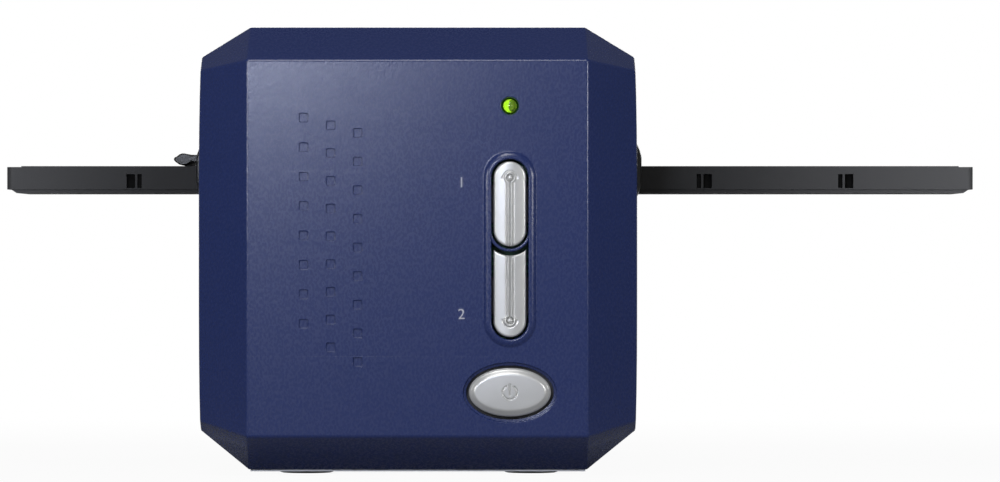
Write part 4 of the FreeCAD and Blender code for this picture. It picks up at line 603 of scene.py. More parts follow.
def lathe_profile(surface, path, profile, face_y=-HALF_DEPTH, inward=1):
    """A profile of (outset, depth) steps carried round path(outset). Depth counts from face_y,
    along +Y where inward is 1 and along -Y where it is -1. Gives the first and last ring."""
    rings = ring_stack(path, [(out, face_y + inward * deep) for out, deep in profile])
    surface.grid(rings, around=True)
    return rings[0], rings[-1]


def block(surface, x, y, z, soften=0.3):
    """A closed block whose edges are cut by a small chamfer: rings of a rounded rectangle."""
    middle_x, middle_z = sum(x) / 2, sum(z) / 2
    half_x, half_z = (x[1] - x[0]) / 2, (z[1] - z[0]) / 2
    steps = [(soften, y[0]), (0.0, y[0] + soften), (0.0, y[1] - soften), (soften, y[1])]
    surface.closed(ring_stack(
        lambda s: rounded_path(middle_x, middle_z, half_x - s, half_z - s, soften, 3), steps,
    ))


POST_SOFT, BORE_FLOOR, POST_POINTS = 0.2, 1.0, 32


def tube(surface, x, z, y, radius, bore=0.0):
    """A round post along Y, with a blind bore from its far end if bore is given."""
    steps = [(radius, y[0]), (radius, y[1] - POST_SOFT), (radius - POST_SOFT, y[1])]
    if bore:
        steps += [(bore, y[1]), (bore, y[0] + BORE_FLOOR)]
    surface.closed(ring_stack(circle(x, z, POST_POINTS), steps))


def housing_piece(surface, name, node):
    """A piece of the blue housing."""
    surface.piece(name, "leather_grain_blue", "scanner", "housing_blue", [node])


# The lip that enters the middle housing: insets of its two skins, and its ends from the seam.
# Then the screw bosses that stand on the base plate: middle, half width, depths and heights.
LIP_INSETS, LIP_ROOT, LIP_TIP = (WALL + 0.1, WALL + 1.3), -4.0, 7.0
BOSS_X, BOSS_HALF, BOSS_DEPTHS, BOSS_Z = 28.0, 4.0, (114.0, 122.0), (3.6, 10.0)


def lip_ring(surface, flip):
    """The lip's two straight skins, a lip's thickness apart."""
    outer, inner = (form_grid(inset, inner_radii)[-1] for inset in LIP_INSETS)
    rings = []
    for points, past in ((outer, LIP_ROOT), (outer, LIP_TIP), (inner, LIP_TIP), (inner, LIP_ROOT)):
        ring = points.copy()
        ring[:, 1] = -SEAM + past
        rings.append(draw_in(ring) * np.array([1, flip, 1]))
    surface.beam(np.array(rings))


def cover_bosses(surface, flip):
    """Two square screw bosses that stand on the base plate."""
    for x in (-BOSS_X, BOSS_X):
        y = sorted(-flip * depth for depth in BOSS_DEPTHS)
        block(surface, (x - BOSS_HALF, x + BOSS_HALF), y, BOSS_Z)


# Outset and depth of the power button's dish and hole, of the lamp hole and of a square recess,
# and the radius and height of the rim round the scan buttons
DISH = [(0.98, 0), (0.86, 0.02), (0.79, 0.10), (0.76, 0.25), (0.73, 0.62), (0.66, 0.76),
        (0.50, 0.80), (0.16, 0.80), (0.04, 0.83), (0.0, 0.95), (0.0, WALL)]
LAMP_EDGE = [(0.38, 0), (0.22, 0.03), (0.09, 0.11), (0.02, 0.25), (0.0, 0.45), (0.0, WALL)]
RECESS = [(0.15, 0), (0.07, 0.015), (0.02, 0.06), (0.0, 0.14), (0.0, 0.28), (-0.05, 0.37),
          (-0.16, 0.40)]
RIM = [(7.15, 0), (7.0, 0.015), (6.88, 0.06), (6.78, 0.14), (6.6, 0.30), (6.3, 0.51), (6.0, 0.65),
       (5.75, 0.73), (5.55, 0.78), (5.36, 0.80), (5.2, 0.78), (5.06, 0.71), (4.95, 0.60),
       (4.88, 0.44), (SCAN_HOLE, 0.22), (SCAN_HOLE, -WALL)]
SQUARE_CORNER, LAMP_POINTS = 0.32, 48
# Posts behind the panel: distance from the buttons' middle, heights, ends, radius and bore
POST_ASIDE, POST_Z, POST_RADIUS, POST_BORE = 9.8, (34.0, 91.0), 2.2, 1.4
POST_ENDS = (-HALF_DEPTH + WALL - 0.3, -125.5)


def front_shell():
    """The front cover: faceted skin, rimmed button hole with its web, dish, lamp hole, squares."""
    surface = Surface()
    rim = lathe_profile(
        surface, lambda radius: stadium_path(BUTTON_X, SCAN_LOW, SCAN_HIGH, radius), RIM,
        inward=-1,
    )
    wide, tall = POWER_HOLE
    dish = lathe_profile(
        surface, lambda out: oval_path(BUTTON_X, POWER_Z + POWER_UP, wide + out, tall + out), DISH,
    )
    lamp_edge = circle(BUTTON_X, LAMP_Z, LAMP_POINTS)
    lamp = lathe_profile(surface, lambda out: lamp_edge(LAMP_HOLE + out), LAMP_EDGE)
    holes = [rim[0], dish[0], lamp[0]]
    for column, (count, step) in enumerate(SQUARE_COLUMNS):
        x = SQUARE_X + column * SQUARE_PITCH
        for i in range(count):
            z = SQUARE_TOP - column * SQUARE_STAGGER - i * step
            edge, floor = lathe_profile(
                surface, lambda out: rounded_path(
                    x, z, SQUARE_HALF + out, SQUARE_HALF + out, SQUARE_CORNER + out,
                ), RECESS,
            )
            holes.append(edge)
            surface.lid(floor)
    cover_skin(surface, 1, holes, [rim[1], dish[1], lamp[1]])
    button_web(surface)
    lip_ring(surface, 1)
    cover_bosses(surface, 1)
    for side in (-1, 1):
        for z in POST_Z:
            tube(surface, BUTTON_X + side * POST_ASIDE, z, POST_ENDS, POST_RADIUS, POST_BORE)
    housing_piece(surface, "front_cover_shell", "front_cover")


WEB_SOFT, WEB_OVERLAP = 0.22, 0.15
WEB_EDGE = [(0.0, WALL), (0.0, WEB_SOFT), (0.3, 0.06), (1.0, 0.0)]


def button_web(surface):
    """The web between the scan buttons: a crescent between the upper hole's arc and the arc of
    the lower hole, its top edge softened, closed through the wall."""
    angle = np.linspace(math.pi, math.tau, 49)
    near = np.full_like(angle, SCAN_HOLE)
    reach = (SCAN_HOLE + WEB_OVERLAP) / np.maximum(np.abs(np.cos(angle)), 1e-6)
    far = np.minimum(WEB_RADIUS, reach)
    section = [(near + WEB_SOFT * share, deep) for share, deep in WEB_EDGE]
    section += [(far - WEB_SOFT * share, deep) for share, deep in reversed(WEB_EDGE)]
    surface.beam(np.array([
        joined(BUTTON_X + radius * np.cos(angle), deep - HALF_DEPTH,
               SCAN_MID + radius * np.sin(angle))
        for radius, deep in section
    ]))


# The sockets' holes: middle and half width of each, their lower edge, height, gap and corners
SOCKET_HOLES = ((-20.0, 6.1), (0.5, 4.6))
SOCKET_LOW, SOCKET_TALL, SOCKET_GAP, SOCKET_CORNER = 25.0, 11.0, 0.1, 0.3
SOCKET_EDGE = [(0.3, 0), (0.16, 0.03), (0.05, 0.12), (0.0, 0.28), (0.0, WALL)]


def rear_shell():
    """The rear cover: the same faceted form, with two rectangular holes for the sockets."""
    surface = Surface()
    middle, tall = SOCKET_LOW + SOCKET_TALL / 2, SOCKET_TALL / 2 + SOCKET_GAP
    rings = [
        lathe_profile(
            surface,
            lambda out: rounded_path(x, middle, half + out, tall + out, SOCKET_CORNER + out),
            SOCKET_EDGE, HALF_DEPTH, -1,
        )
        for x, half in SOCKET_HOLES
    ]
    cover_skin(surface, -1, [r[0] for r in rings], [r[1] for r in rings])
    lip_ring(surface, -1)
    cover_bosses(surface, -1)
    housing_piece(surface, "rear_cover_shell", "rear_cover")


# How far a slot's window stays inside its collar, the side columns below and above the windows,
# how the ends are softened as (distance, drawn in), and the screw bosses on the base plate
WINDOW_INSIDE = 0.9
BELOW_WINDOW, ABOVE_WINDOW = (24.0, 36.0, 48.0, 60.0), (100.0,)
END_SOFT = ((0.0, 0.3), (0.1, 0.1), (0.3, 0.0))
SIDE_BOSS_X, SIDE_BOSS_Y, SIDE_BOSS_Z = (37.0, 49.0), 52.0, (3.7, 7.6)


def sleeve():
    """The middle housing: the ring section carried straight from seam to seam, softened at both
    ends, with a window in each side for the slot bezel."""
    surface = Surface()
    end = SEAM - SEAM_GAP
    window_y = (SLOT_Y - BEZEL_HALF + WINDOW_INSIDE, SLOT_Y + BEZEL_HALF - WINDOW_INSIDE)
    window_z = (BEZEL_LOW + WINDOW_INSIDE, BEZEL_HIGH - WINDOW_INSIDE)
    heights = [*BELOW_WINDOW, *window_z, *ABOVE_WINDOW]
    depths = [
        *((-end + past, pull) for past, pull in END_SOFT), (window_y[0], 0.0), (window_y[1], 0.0),
        *((end - past, pull) for past, pull in reversed(END_SOFT)),
    ]

    def carried(grid, shrink):
        section = with_side_rows(grid, heights)[(SEAM_BAND - 1) * PER_CORNER]
        outwards = (section - np.array([0, 0, MIDDLE_Z])) * np.array([1, 0, 1])
        rows = []
        for y, pull in depths:
            row = section - outwards * (pull * shrink / SIDE)
            row[:, 1] = y
            rows.append(draw_in(row))
        return np.array(rows)

    skins = [carried(form_grid(0.0, outer_radii), 1.0), carried(form_grid(WALL, inner_radii), 0.0)]
    rows, columns = skins[0].shape[:2]
    window_row = len(END_SOFT)
    right = RIGHT_SIDE * PER_CORNER + len(BELOW_WINDOW)
    windows = (right, columns - right - 2)
    keep = np.ones((rows - 1, columns - 1), bool)
    keep[window_row, windows] = False
    for skin in skins:
        surface.grid(skin, keep=keep)
    surface.grid(np.stack([rectangle_edge(skin) for skin in skins]), around=True)
    for column in windows:
        corners = [
            rectangle_edge(skin[window_row:window_row + 2, column:column + 2]) for skin in skins
        ]
        surface.grid(np.stack(corners), around=True)
    for side in (-1, 1):
        for y in (-SIDE_BOSS_Y, SIDE_BOSS_Y):
            x = sorted(side * x for x in SIDE_BOSS_X)
            block(surface, x, (y - BOSS_HALF, y + BOSS_HALF), SIDE_BOSS_Z)
    housing_piece(surface, "middle_housing_shell", "main_housing")


# Buttons and lamp

CAP_PROUD, CAP_FALL, CAP_SOFT, CAP_BACK, STEM_TIP = 1.2, 0.55, 0.55, -132.3, -130.0
BALL_RADIUS, RING_RADIUS, RING_HALF = 0.78, 1.28, 0.42
RIDGE_X, RIDGE_HALF, GROOVE_HALF, PIT_RADIUS = 0.52, 0.34, 0.24, 1.02
# Soft dips beside the ridges and round the ring, how far the ball lies down, and the heights of
# what is raised, dipped and sunk
DIP_X, DIP_RADIUS, DIP_HALF, RING_DIP_HALF, BALL_DOWN = 1.06, 1.85, 0.22, 0.25, 0.5
RAISED, DIPPED, SUNK = 0.26, 0.14, 0.46


def cap_relief(x, z, ball_z, towards, border):
    """Height of a scan button's cap over the panel. A crown falls with the square of x, the
    border rounds down, two ridges beside a groove run from the ball to the far end, and the
    ball lies in a pit inside a raised ring. Ridges, ring, groove and dips are bells across their
    middle lines. border is each point's distance to the edge."""
    crown = CAP_PROUD - CAP_FALL * (x / CAP_RADIUS) ** 2
    edge = np.clip(CAP_SOFT - border, 0, CAP_SOFT)
    crown = crown - (CAP_SOFT - np.sqrt(np.maximum(CAP_SOFT ** 2 - edge ** 2, 0)))
    from_ball = np.hypot(x, z - ball_z)
    beyond = ease((towards * (z - ball_z)) / 0.5)
    ridge = bell((np.abs(x) - RIDGE_X) / RIDGE_HALF) * beyond * ease((from_ball - 0.95) / 0.3)
    ring = bell((from_ball - RING_RADIUS) / RING_HALF)
    ring = ring * (1 - beyond * bell(x / 0.45))
    pit = ease((PIT_RADIUS - from_ball) / 0.25)
    groove = bell(x / GROOVE_HALF) * beyond
    dips = bell((np.abs(x) - DIP_X) / DIP_HALF) * beyond
    dips = dips + bell((from_ball - DIP_RADIUS) / RING_DIP_HALF) * (1 - beyond)
    ball = np.sqrt(np.maximum(1 - (from_ball / BALL_RADIUS) ** 2, 0)) * BALL_RADIUS
    height = crown + RAISED * np.maximum(ring, ridge) - DIPPED * dips
    height = height - SUNK * np.maximum(pit, groove)
    return np.maximum(height, np.where(from_ball < BALL_RADIUS, crown - BALL_DOWN + ball, -1.0))


def cap_sides(surface, rim):
    """The sides of a cap, straight back from its rim, and its flat back."""
    back = rim.copy()
    back[:, 1] = CAP_BACK
    surface.grid(np.stack([rim, back]), around=True)
    surface.lid(back)


# The flange behind a scan button (half width, half height, depths, edge) and its stem
FLANGE_WIDE, FLANGE_TALL, FLANGE_Y, FLANGE_SOFT = 5.65, 5.05, (-133.45, -132.2), 0.2
STEM_RADIUS, STEM_ROOT = 1.7, -133.0
RELIEF_WIDE, RELIEF_TALL = 1.9, 2.3


def scan_cap(name, low, high, span_z, ball_z, towards, border, replaced, body):
    """A scan button between the arcs low(x) and high(x). Columns follow the arcs, closer together
    at the groove; rows run from the lower to the upper edge, closer together at the ball, whose
    share of the way is measured on span_z."""
    inner = np.linspace(-RELIEF_WIDE, RELIEF_WIDE, 59)
    start = math.asin((RELIEF_WIDE + 0.05) / CAP_RADIUS)
    outer = CAP_RADIUS * np.sin(np.linspace(start, math.pi / 2, 15))
    x = np.concatenate([-outer[::-1], inner, outer])
    bottom, top = low(x), high(x)
    by_ball = ball_z - span_z[0] + np.linspace(-RELIEF_TALL, RELIEF_TALL, 61)
    share = np.concatenate([
        np.linspace(0, 0.06, 10), np.linspace(0.94, 1, 10), np.linspace(0.08, 0.92, 22),
        by_ball / (span_z[1] - span_z[0]),
    ])
    share = np.unique(np.round(np.clip(share, 0, 1), 4))
    z = bottom[None, :] + (top - bottom)[None, :] * share[:, None]
    height = cap_relief(x, z, ball_z, towards, border(x, z))
    face = joined(BUTTON_X + x, -HALF_DEPTH - height, z)
    surface = Surface()
    surface.grid(face)
    cap_sides(surface, rectangle_edge(face))
    middle = sum(span_z) / 2
    carrier = Surface()
    block(carrier, (BUTTON_X - FLANGE_WIDE, BUTTON_X + FLANGE_WIDE), FLANGE_Y,
          (middle - FLANGE_TALL, middle + FLANGE_TALL), FLANGE_SOFT)
    tube(carrier, BUTTON_X, middle, (STEM_ROOT, STEM_TIP), STEM_RADIUS)
    carrier.piece(name + "_carrier", "switch_plastic", body, "switch_black")
    surface.piece(name, "satin_silver", body, "button_silver", [replaced], crease=50.0)


def scan_caps():
    """Both scan buttons: the upper has round ends, the lower a hollow upper end."""
    def arc(middle, radius, sign):
        return lambda x: middle + sign * np.sqrt(np.maximum(radius ** 2 - x ** 2, 0))

    def upper_border(x, z):
        past = np.maximum(np.maximum(z - SCAN_HIGH, SCAN_MID - z), 0)
        return CAP_RADIUS - np.hypot(x, past)

    def lower_border(x, z):
        past = np.maximum(SCAN_LOW - z, 0)
        notch = np.hypot(x, z - SCAN_MID) - NOTCH_RADIUS
        return np.minimum(CAP_RADIUS - np.hypot(x, past), notch)

    scan_cap(
        "upper_scan_cap", arc(SCAN_MID, CAP_RADIUS, -1), arc(SCAN_HIGH, CAP_RADIUS, 1),
        (60.6, 82.9), 78.6, -1, upper_border, "upper_scan_button", "upper_button",
    )
    scan_cap(
        "lower_scan_cap", arc(SCAN_LOW, CAP_RADIUS, -1), arc(SCAN_MID, NOTCH_RADIUS, -1),
        (36.75, 58.2), 41.1, 1, lower_border, "lower_scan_button", "lower_button",
    )


# The power button: half sizes, middle, points round it, (outset, depth) of its flange, (fall,
# width) of its two bevels and the crown's fall; then the engraving's depth, the ring's radius and
# the angle to which it is open, the bar's ends, and half the width of either stroke
POWER_HALF, POWER_MIDDLE, POWER_POINTS = (10.75, 6.3), POWER_Z + POWER_UP + 0.05, 200
POWER_FLANGE = [(1.2, -133.5), (1.4, -133.3), (1.4, -132.2)]
POWER_BEVELS, POWER_FALL, ENGRAVED = ((0.80, 1.75), (0.30, 0.35)), 0.16, 0.26
SIGN_RADIUS, SIGN_OPEN, BAR_LOW, BAR_HIGH, STROKE_HALF = 1.85, 26, -1.0, 2.35, 0.34


def power_cap():
    """The power button: an oval dome with a bevelled edge and an engraved open ring and bar.
    Its height is a crown less the bevel, which falls over the last millimetres, less the
    engraving."""
    half_wide, half_tall = POWER_HALF
    share = np.concatenate([
        np.linspace(0.004, 0.44, 56), np.linspace(0.46, 0.80, 12), np.linspace(0.815, 1, 22),
    ])[:, None]
    angle = np.arange(POWER_POINTS) * math.tau / POWER_POINTS
    x = half_wide * share * np.cos(angle)
    z = half_tall * share * np.sin(angle)
    reach = half_wide * half_tall / np.hypot(half_tall * np.cos(angle), half_wide * np.sin(angle))
    from_edge = (1 - share) * reach
    bevel = sum(fall * ease(1 - from_edge / width) for fall, width in POWER_BEVELS)
    crown = CAP_PROUD - POWER_FALL * share ** 2
    turn = np.degrees(np.arctan2(np.abs(x), z))
    ring = bell((np.hypot(x, z) - SIGN_RADIUS) / STROKE_HALF) * ease((turn - SIGN_OPEN) / 8)
    bar = ease((z - BAR_LOW) / 0.25) * ease((BAR_HIGH - z) / 0.25) * bell(x / STROKE_HALF)
    height = crown - bevel - ENGRAVED * np.maximum(ring, bar)
    face = joined(BUTTON_X + x, -HALF_DEPTH - height, POWER_MIDDLE + z)
    surface = Surface()
    surface.grid(face, around=True)
    surface.lid(face[0])
    cap_sides(surface, face[-1])
    carrier = Surface()
    carrier.closed(ring_stack(
        lambda out: oval_path(BUTTON_X, POWER_MIDDLE, half_wide + out, half_tall + out, 120),
        POWER_FLANGE,
    ))
    tube(carrier, BUTTON_X, POWER_Z, (STEM_ROOT, STEM_TIP), STEM_RADIUS)
    carrier.piece("power_cap_carrier", "switch_plastic", "power_switch", "switch_black")
    surface.piece(
        "power_cap", "satin_silver", "power_switch", "button_silver", ["power_button"],
        crease=50.0,
    )


# Radius and depth of the status lamp's lit cup and of its dark carrier, which stands a little
# aside and is flattened to an oval
CUP = [(0.05, -135.55), (1.45, -135.55), (1.55, -135.4), (1.55, -127.0), (0.05, -127.0)]
LEAD = [(0.02, -136.35), (0.78, -136.30), (0.90, -136.1), (0.90, -135.5), (0.02, -135.5)]
LEAD_ASIDE, LEAD_WIDE, LEAD_TALL = 0.42, 0.72, 1.1
DOME_BACK = -125.5


def status_lamp():
    """A round lamp: a clear dome, and seen through it a lit cup and beside it the dark end of
    the carrier."""
    dome, cup, lead = Surface(), Surface(), Surface()
    angle = np.linspace(0.02, math.pi / 2, 14)
    radius = [*LAMP_RADIUS * np.sin(angle), LAMP_RADIUS]
    depth = [*-HALF_DEPTH - LAMP_RADIUS * np.cos(angle), DOME_BACK]
    dome.closed(ring_stack(circle(BUTTON_X, LAMP_Z, LAMP_POINTS), zip(radius, depth)))
    dome.piece(
        "status_lamp_dome", "lime_resin", "scanner", "lamp_green", ["status_lamp"], crease=60.0,
    )
    cup.closed(ring_stack(circle(BUTTON_X, LAMP_Z, 40), CUP))
    cup.piece("status_lamp_cup", "lamp_cup_glow", "scanner", "lamp_green")
    lead.closed(ring_stack(
        lambda r: oval_path(BUTTON_X + LEAD_ASIDE, LAMP_Z, r * LEAD_WIDE, r * LEAD_TALL, 36), LEAD,
    ))
    lead.piece("status_lamp_carrier", "lamp_carrier_olive", "scanner", "lamp_green")


# Slot bezels and dust flaps

# Corner radii of the throat and of the collar, points on each, how deep the collar reaches into
# the housing, how much smaller its spigot is, where along the slot its face stands highest and how
# it falls from there, and (fall, width) of its rounding at the throat and at the outer edge
THROAT_CORNER, COLLAR_CORNER, COLLAR_POINTS = 0.6, 6.0, 8
SPIGOT_DEEP, SPIGOT_IN, SPIGOT_CORNER = 4.0, 1.0, 0.5
HIGHEST_Y, FALL_LENGTH, FALL, LEAST_PROUD = -54.0, 45.0, 1.1, 0.02
THROAT_ROUND, COLLAR_ROUND = (0.35, 0.5), (0.45, 0.7)


def slot_bezel(side, name, node):
    """A collar round the side slot. The outer edge and the throat are rounded rectangles, rings
    in between share their distance, and the face's height follows a circle over z, less the
    square of the way along from its highest place, rounded down at both edges."""
    middle_z, half_z = (BEZEL_LOW + BEZEL_HIGH) / 2, (BEZEL_HIGH - BEZEL_LOW) / 2
    throat_middle = [sum(ends) / 2 for ends in (THROAT_Y, THROAT_Z)]
    throat_half = [(ends[1] - ends[0]) / 2 for ends in (THROAT_Y, THROAT_Z)]
    throat = rounded_path(*throat_middle, *throat_half, THROAT_CORNER, COLLAR_POINTS)
    outer = rounded_path(SLOT_Y, middle_z, BEZEL_HALF, half_z, COLLAR_CORNER, COLLAR_POINTS)
    spigot = rounded_path(
        SLOT_Y, middle_z, BEZEL_HALF - SPIGOT_IN, half_z - SPIGOT_IN, SPIGOT_CORNER, COLLAR_POINTS,
    )
    share = np.array([0, 0.03, 0.08, 0.15, *np.linspace(0.25, 0.8, 8), 0.88, 0.94, 0.98, 1.0])
    flat = throat + (outer - throat) * share[:, None, None]
    gap = np.linalg.norm(outer - throat, axis=-1)
    from_throat, from_edge = share[:, None] * gap, (1 - share[:, None]) * gap
    curve = np.sqrt(BEZEL_CURVE ** 2 - (flat[..., 1] - middle_z) ** 2)
    x = SIDE + BEZEL_PROUD - BEZEL_CURVE + curve
    x = x - FALL * ((flat[..., 0] - HIGHEST_Y) / FALL_LENGTH) ** 2
    for away, (fall, width) in ((from_throat, THROAT_ROUND), (from_edge, COLLAR_ROUND)):
        x = x - fall * ease(1 - away / width)
    x = np.maximum(x, SIDE + LEAST_PROUD)

    def ring(path, reach):
        return np.insert(path, 0, side * reach, axis=-1)

    rings = [
        ring(throat, SIDE - SPIGOT_DEEP), *(ring(path, reach) for path, reach in zip(flat, x)),
        ring(outer, SIDE), ring(spigot, SIDE), ring(spigot, SIDE - SPIGOT_DEEP),
    ]
    surface = Surface()
    surface.grid(np.array(rings), around=True, along=True)
    surface.piece(name, "bezel_plastic", "scanner", "bezel_black", [node], crease=45.0)


# Outline of the flap in front view, from its hinge: barrel, top, hump, tip and lower bead
FLAP_OUTLINE = np.array([
    (1.30, 0.25), (0.75, 1.10), (-0.10, 1.32), (-1.1, 0.98), (-2.4, 0.88), (-3.6, 0.92),
    (-4.7, 1.14), (-5.6, 1.28), (-6.5, 1.06), (-7.3, 0.45), (-7.95, 0.10), (-8.1, -0.50),
    (-7.7, -1.00), (-7.1, -1.45), (-6.5, -1.82), (-5.5, -1.88), (-4.6, -1.70), (-4.0, -1.28),
    (-3.2, -1.08), (-2.1, -1.08), (-1.2, -1.12), (-0.3, -1.33), (0.8, -1.08), (1.30, -0.40),
])
FLAP_GAP, FLAP_END = 0.4, ((0.0, 0.5), (0.12, 0.2), (0.45, 0.0))


def closed_curve(points, finer):
    """A closed curve through points: on each span the Catmull-Rom cubic of four neighbours."""
    before, after, beyond = np.roll(points, 1, 0), np.roll(points, -1, 0), np.roll(points, -2, 0)
    t = (np.arange(finer) / finer)[None, :, None]
    a, b, c, d = (p[:, None] for p in (before, points, after, beyond))
    curve = 0.5 * (2 * b + (c - a) * t + (2 * a - 5 * b + 4 * c - d) * t ** 2
                   + (3 * b - a - 3 * c + d) * t ** 3)
    return curve.reshape(-1, points.shape[-1])


def dust_flap(side, name, node, body):
    """A moulded flap: its outline is carried along the slot, its ends rounded over."""
    outline = closed_curve(FLAP_OUTLINE, 4)
    inwards = outline.mean(axis=0) - outline
    inwards /= np.linalg.norm(inwards, axis=-1, keepdims=True)
    start, end = THROAT_Y[0] + FLAP_GAP, THROAT_Y[1] - FLAP_GAP
    sections = [(start + past, pull) for past, pull in FLAP_END]
    sections += [(end - past, pull) for past, pull in reversed(FLAP_END)]
    surface = Surface()
    surface.closed([
        at_depth(outline + inwards * pull + np.array([side * FLAP_X, FLAP_Z]), y)
        for y, pull in sections
    ])
    surface.piece(name, "bezel_plastic", body, "bezel_black", [node], crease=60.0)


# Feet, numerals, film holder and flat cable

FOOT_PROFILE = [
    (0.05, 0.0), (5.6, 0.0), (6.3, 0.05), (6.9, 0.2), (7.4, 0.48), (7.68, 0.78), (7.75, 1.0),
    (7.7, 1.055), (2.5, 1.058), (2.5, 3.3), (2.2, 3.54), (0.05, 3.54),
]
FOOT_X, FOOT_Y, FOOT_POINTS = 30.0, 97.5, 64


def foot_pads():
    """Four rubber pads: a low dome turned round, with the plug that holds it above."""
    surface = Surface()
    for x in (-FOOT_X, FOOT_X):
        for y in (-FOOT_Y, FOOT_Y):
            surface.closed([
                np.insert(oval_path(x, y, radius, radius, FOOT_POINTS), 2, z, axis=-1)
                for radius, z in FOOT_PROFILE
            ])
    surface.piece("foot_pads", "foot_rubber", "scanner", "foot_rubber", ["feet"], crease=40.0)


NUMERAL_X, NUMERAL_TALL, INK, INK_PROUD = 10.6, 3.9, 0.02, 0.01


def numeral(text, z):
    """A printed numeral just proud of the panel, turned into a mesh before it is placed."""
    curve = bpy.data.curves.new(f"numeral_{text}", "FONT")
    curve.body = text
    curve.size = NUMERAL_TALL * MM
    curve.extrude = INK * MM
    written = bpy.data.objects.new(f"numeral_{text}_text", curve)
    mesh = bpy.data.meshes.new_from_object(written)
    bpy.data.objects.remove(written)
    spots = np.empty(len(mesh.vertices) * 3)
    mesh.vertices.foreach_get("co", spots)
    along, up, out = spots.reshape(-1, 3).T
    moved = joined(NUMERAL_X * MM + along, -(HALF_DEPTH + INK_PROUD) * MM - out, z * MM + up)
    mesh.vertices.foreach_set("co", moved.ravel())
    mesh.materials.clear()
    mesh.materials.append(finishes["printed_ink"])
    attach(placed(f"numeral_{text}", mesh), "scanner")


def softened(node, name, finish, body, width):
    """A copy of a machined piece whose sharp edges get a small round: its loose triangles are
    merged, flat neighbours are joined, and a bevel runs along the edges."""
    mesh = nodes[node].data.copy()
    mesh.name = name
    work = bmesh.new()
    work.from_mesh(mesh)
    bmesh.ops.remove_doubles(work, verts=work.verts, dist=DOUBLE / 2 * MM)
    bmesh.ops.dissolve_limit(
        work, angle_limit=math.radians(FLAT_ANGLE), verts=work.verts, edges=work.edges,
        use_dissolve_boundaries=False,
    )
    work.to_mesh(mesh)
    work.free()
    mesh.materials.clear()
    mesh.materials.append(finishes[finish])
    mesh.polygons.foreach_set("use_smooth", [True] * len(mesh.polygons))
    made = placed(name, mesh)
    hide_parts(node)
    if not width:
        return made
    rounding = made.modifiers.new("edge_rounding", "BEVEL")
    rounding.width = width * MM
    rounding.segments = 2
    rounding.limit_method = "ANGLE"
    rounding.angle_limit = math.radians(EDGE_ANGLE)
    even_normals(made)
    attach(made, body)
    return made


# Where each detent recess and each slot behind it starts along the holder, their widths, and the
# # depths and heights of the black pads on their floors, which paint the shade in them
NOTCH_STARTS = (
    (-78.65, -75.75), (-40.65, -37.75), (-2.65, 0.25), (38.35, 36.55), (76.35, 74.55),
    (114.35, 112.55),
)
NOTCH_WIDE, NOTCH_DEEP, NOTCH_Z = (2.3, 1.2), ((-88.95, -88.7), (-89.75, -89.5)), (76.23, 79.97)
SHADE_PAD_GAP, SHADE_PAD_SOFT = 0.03, 0.05


def notch_shade_pads():
    """Painted shade: dull black pads on the floors of the holder's detent recesses and slots."""
    surface = Surface()
    for starts in NOTCH_STARTS:
        for start, wide, deep in zip(starts, NOTCH_WIDE, NOTCH_DEEP):
            x = (start + SHADE_PAD_GAP, start + wide - SHADE_PAD_GAP)
            block(surface, x, deep, NOTCH_Z, SHADE_PAD_SOFT)
    surface.piece("holder_notch_pads", "recess_shade_black", "film_holder", "holder_black")


def flat_cable():
    """The carriage's cable: a merged copy of the machined piece, with its placing baked into its
    points."""
    made = softened(
        "carriage_cable", "carriage_flat_cable", "flat_cable", "scanner", 0,
    )
    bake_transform(made)


front_shell()
rear_shell()
sleeve()
scan_caps()
power_cap()
status_lamp()
slot_bezel(-1, "left_bezel_collar", "left_slot_bezel")
slot_bezel(1, "right_bezel_collar", "right_slot_bezel")
dust_flap(-1, "left_flap_leaf", "left_dust_flap", "left_flap")
dust_flap(1, "right_flap_leaf", "right_dust_flap", "right_flap")
foot_pads()
numeral("1", 76.1)
numeral("2", 41.5)
softened("holder_tray", "film_holder_tray", "holder_plastic", "film_holder", 0.28)
notch_shade_pads()
flat_cable()
softened("holder_lid", "film_holder_lid", "holder_plastic", "film_holder", 0.12)
softened("base_plate", "base_plate_panel", "satin_grey_plastic", "scanner", 0.25)

# Machined and bought-in pieces that keep their own shape

KEPT = {
    "plated_screw_steel": ("base_screws", "inner_screws"),
    "switch_plastic": ("upper_switch_plunger", "lower_switch_plunger", "power_switch_plunger",
                       "tactile_switches"),
    "solder_mask_green": ("button_board", "sensor_board", "main_board"),
    "ground_pin_steel": ("lid_hinge_pins", "flap_pins", "guide_rod", "motor_shaft", "pulley_pins",
                         "detent_spring"),
    "zinc_plated_sheet": ("chassis", "rod_holders", "motor_bracket", "idler_bracket",
                          "film_gate_mask"),
    "rail_nylon": ("front_guide_rail", "rear_guide_rail", "carriage_box", "carriage_lid",
                   "lamp_arm", "belt_clamp", "support_rail", "lid_latches"),
    "sintered_bronze": ("rod_bushes", "motor_pinion"),
    "front_silvered_mirror": ("fold_mirror",),
    "coated_lens_glass": ("lens_elements",),
    "opal_lamp_white": ("lamp_strip", "lamp_diffuser"),
    "acetal_white": ("reduction_gear", "idler_pulley"),
    "brushed_motor_steel": ("stepper_motor",),
    "belt_rubber": ("drive_belt",),
    "nickel_socket": ("usb_socket",),
    "jack_plastic": ("power_jack", "lens_barrel", "line_sensor", "board_components"),
    "flat_cable": ("button_cable",),
}
for finish, names in KEPT.items():
    for name in names:
        mesh = nodes[name].data
        if not mesh.materials:
            mesh.materials.append(finishes[finish])
        for i in range(len(mesh.materials)):
            mesh.materials[i] = finishes[finish]

# Floor, light and camera

# Half the floor's width, where it fades to white and by how much at the least, where behind the
# object shiny things see it white, and the strength of the even light
FLOOR_HALF, FADE_FROM, FADE_TO, FADE_LEAST = 4000, 180, 520, 0.95
BEHIND_FROM, BEHIND_TO, EVEN_LIGHT = 600, 1200, 0.16


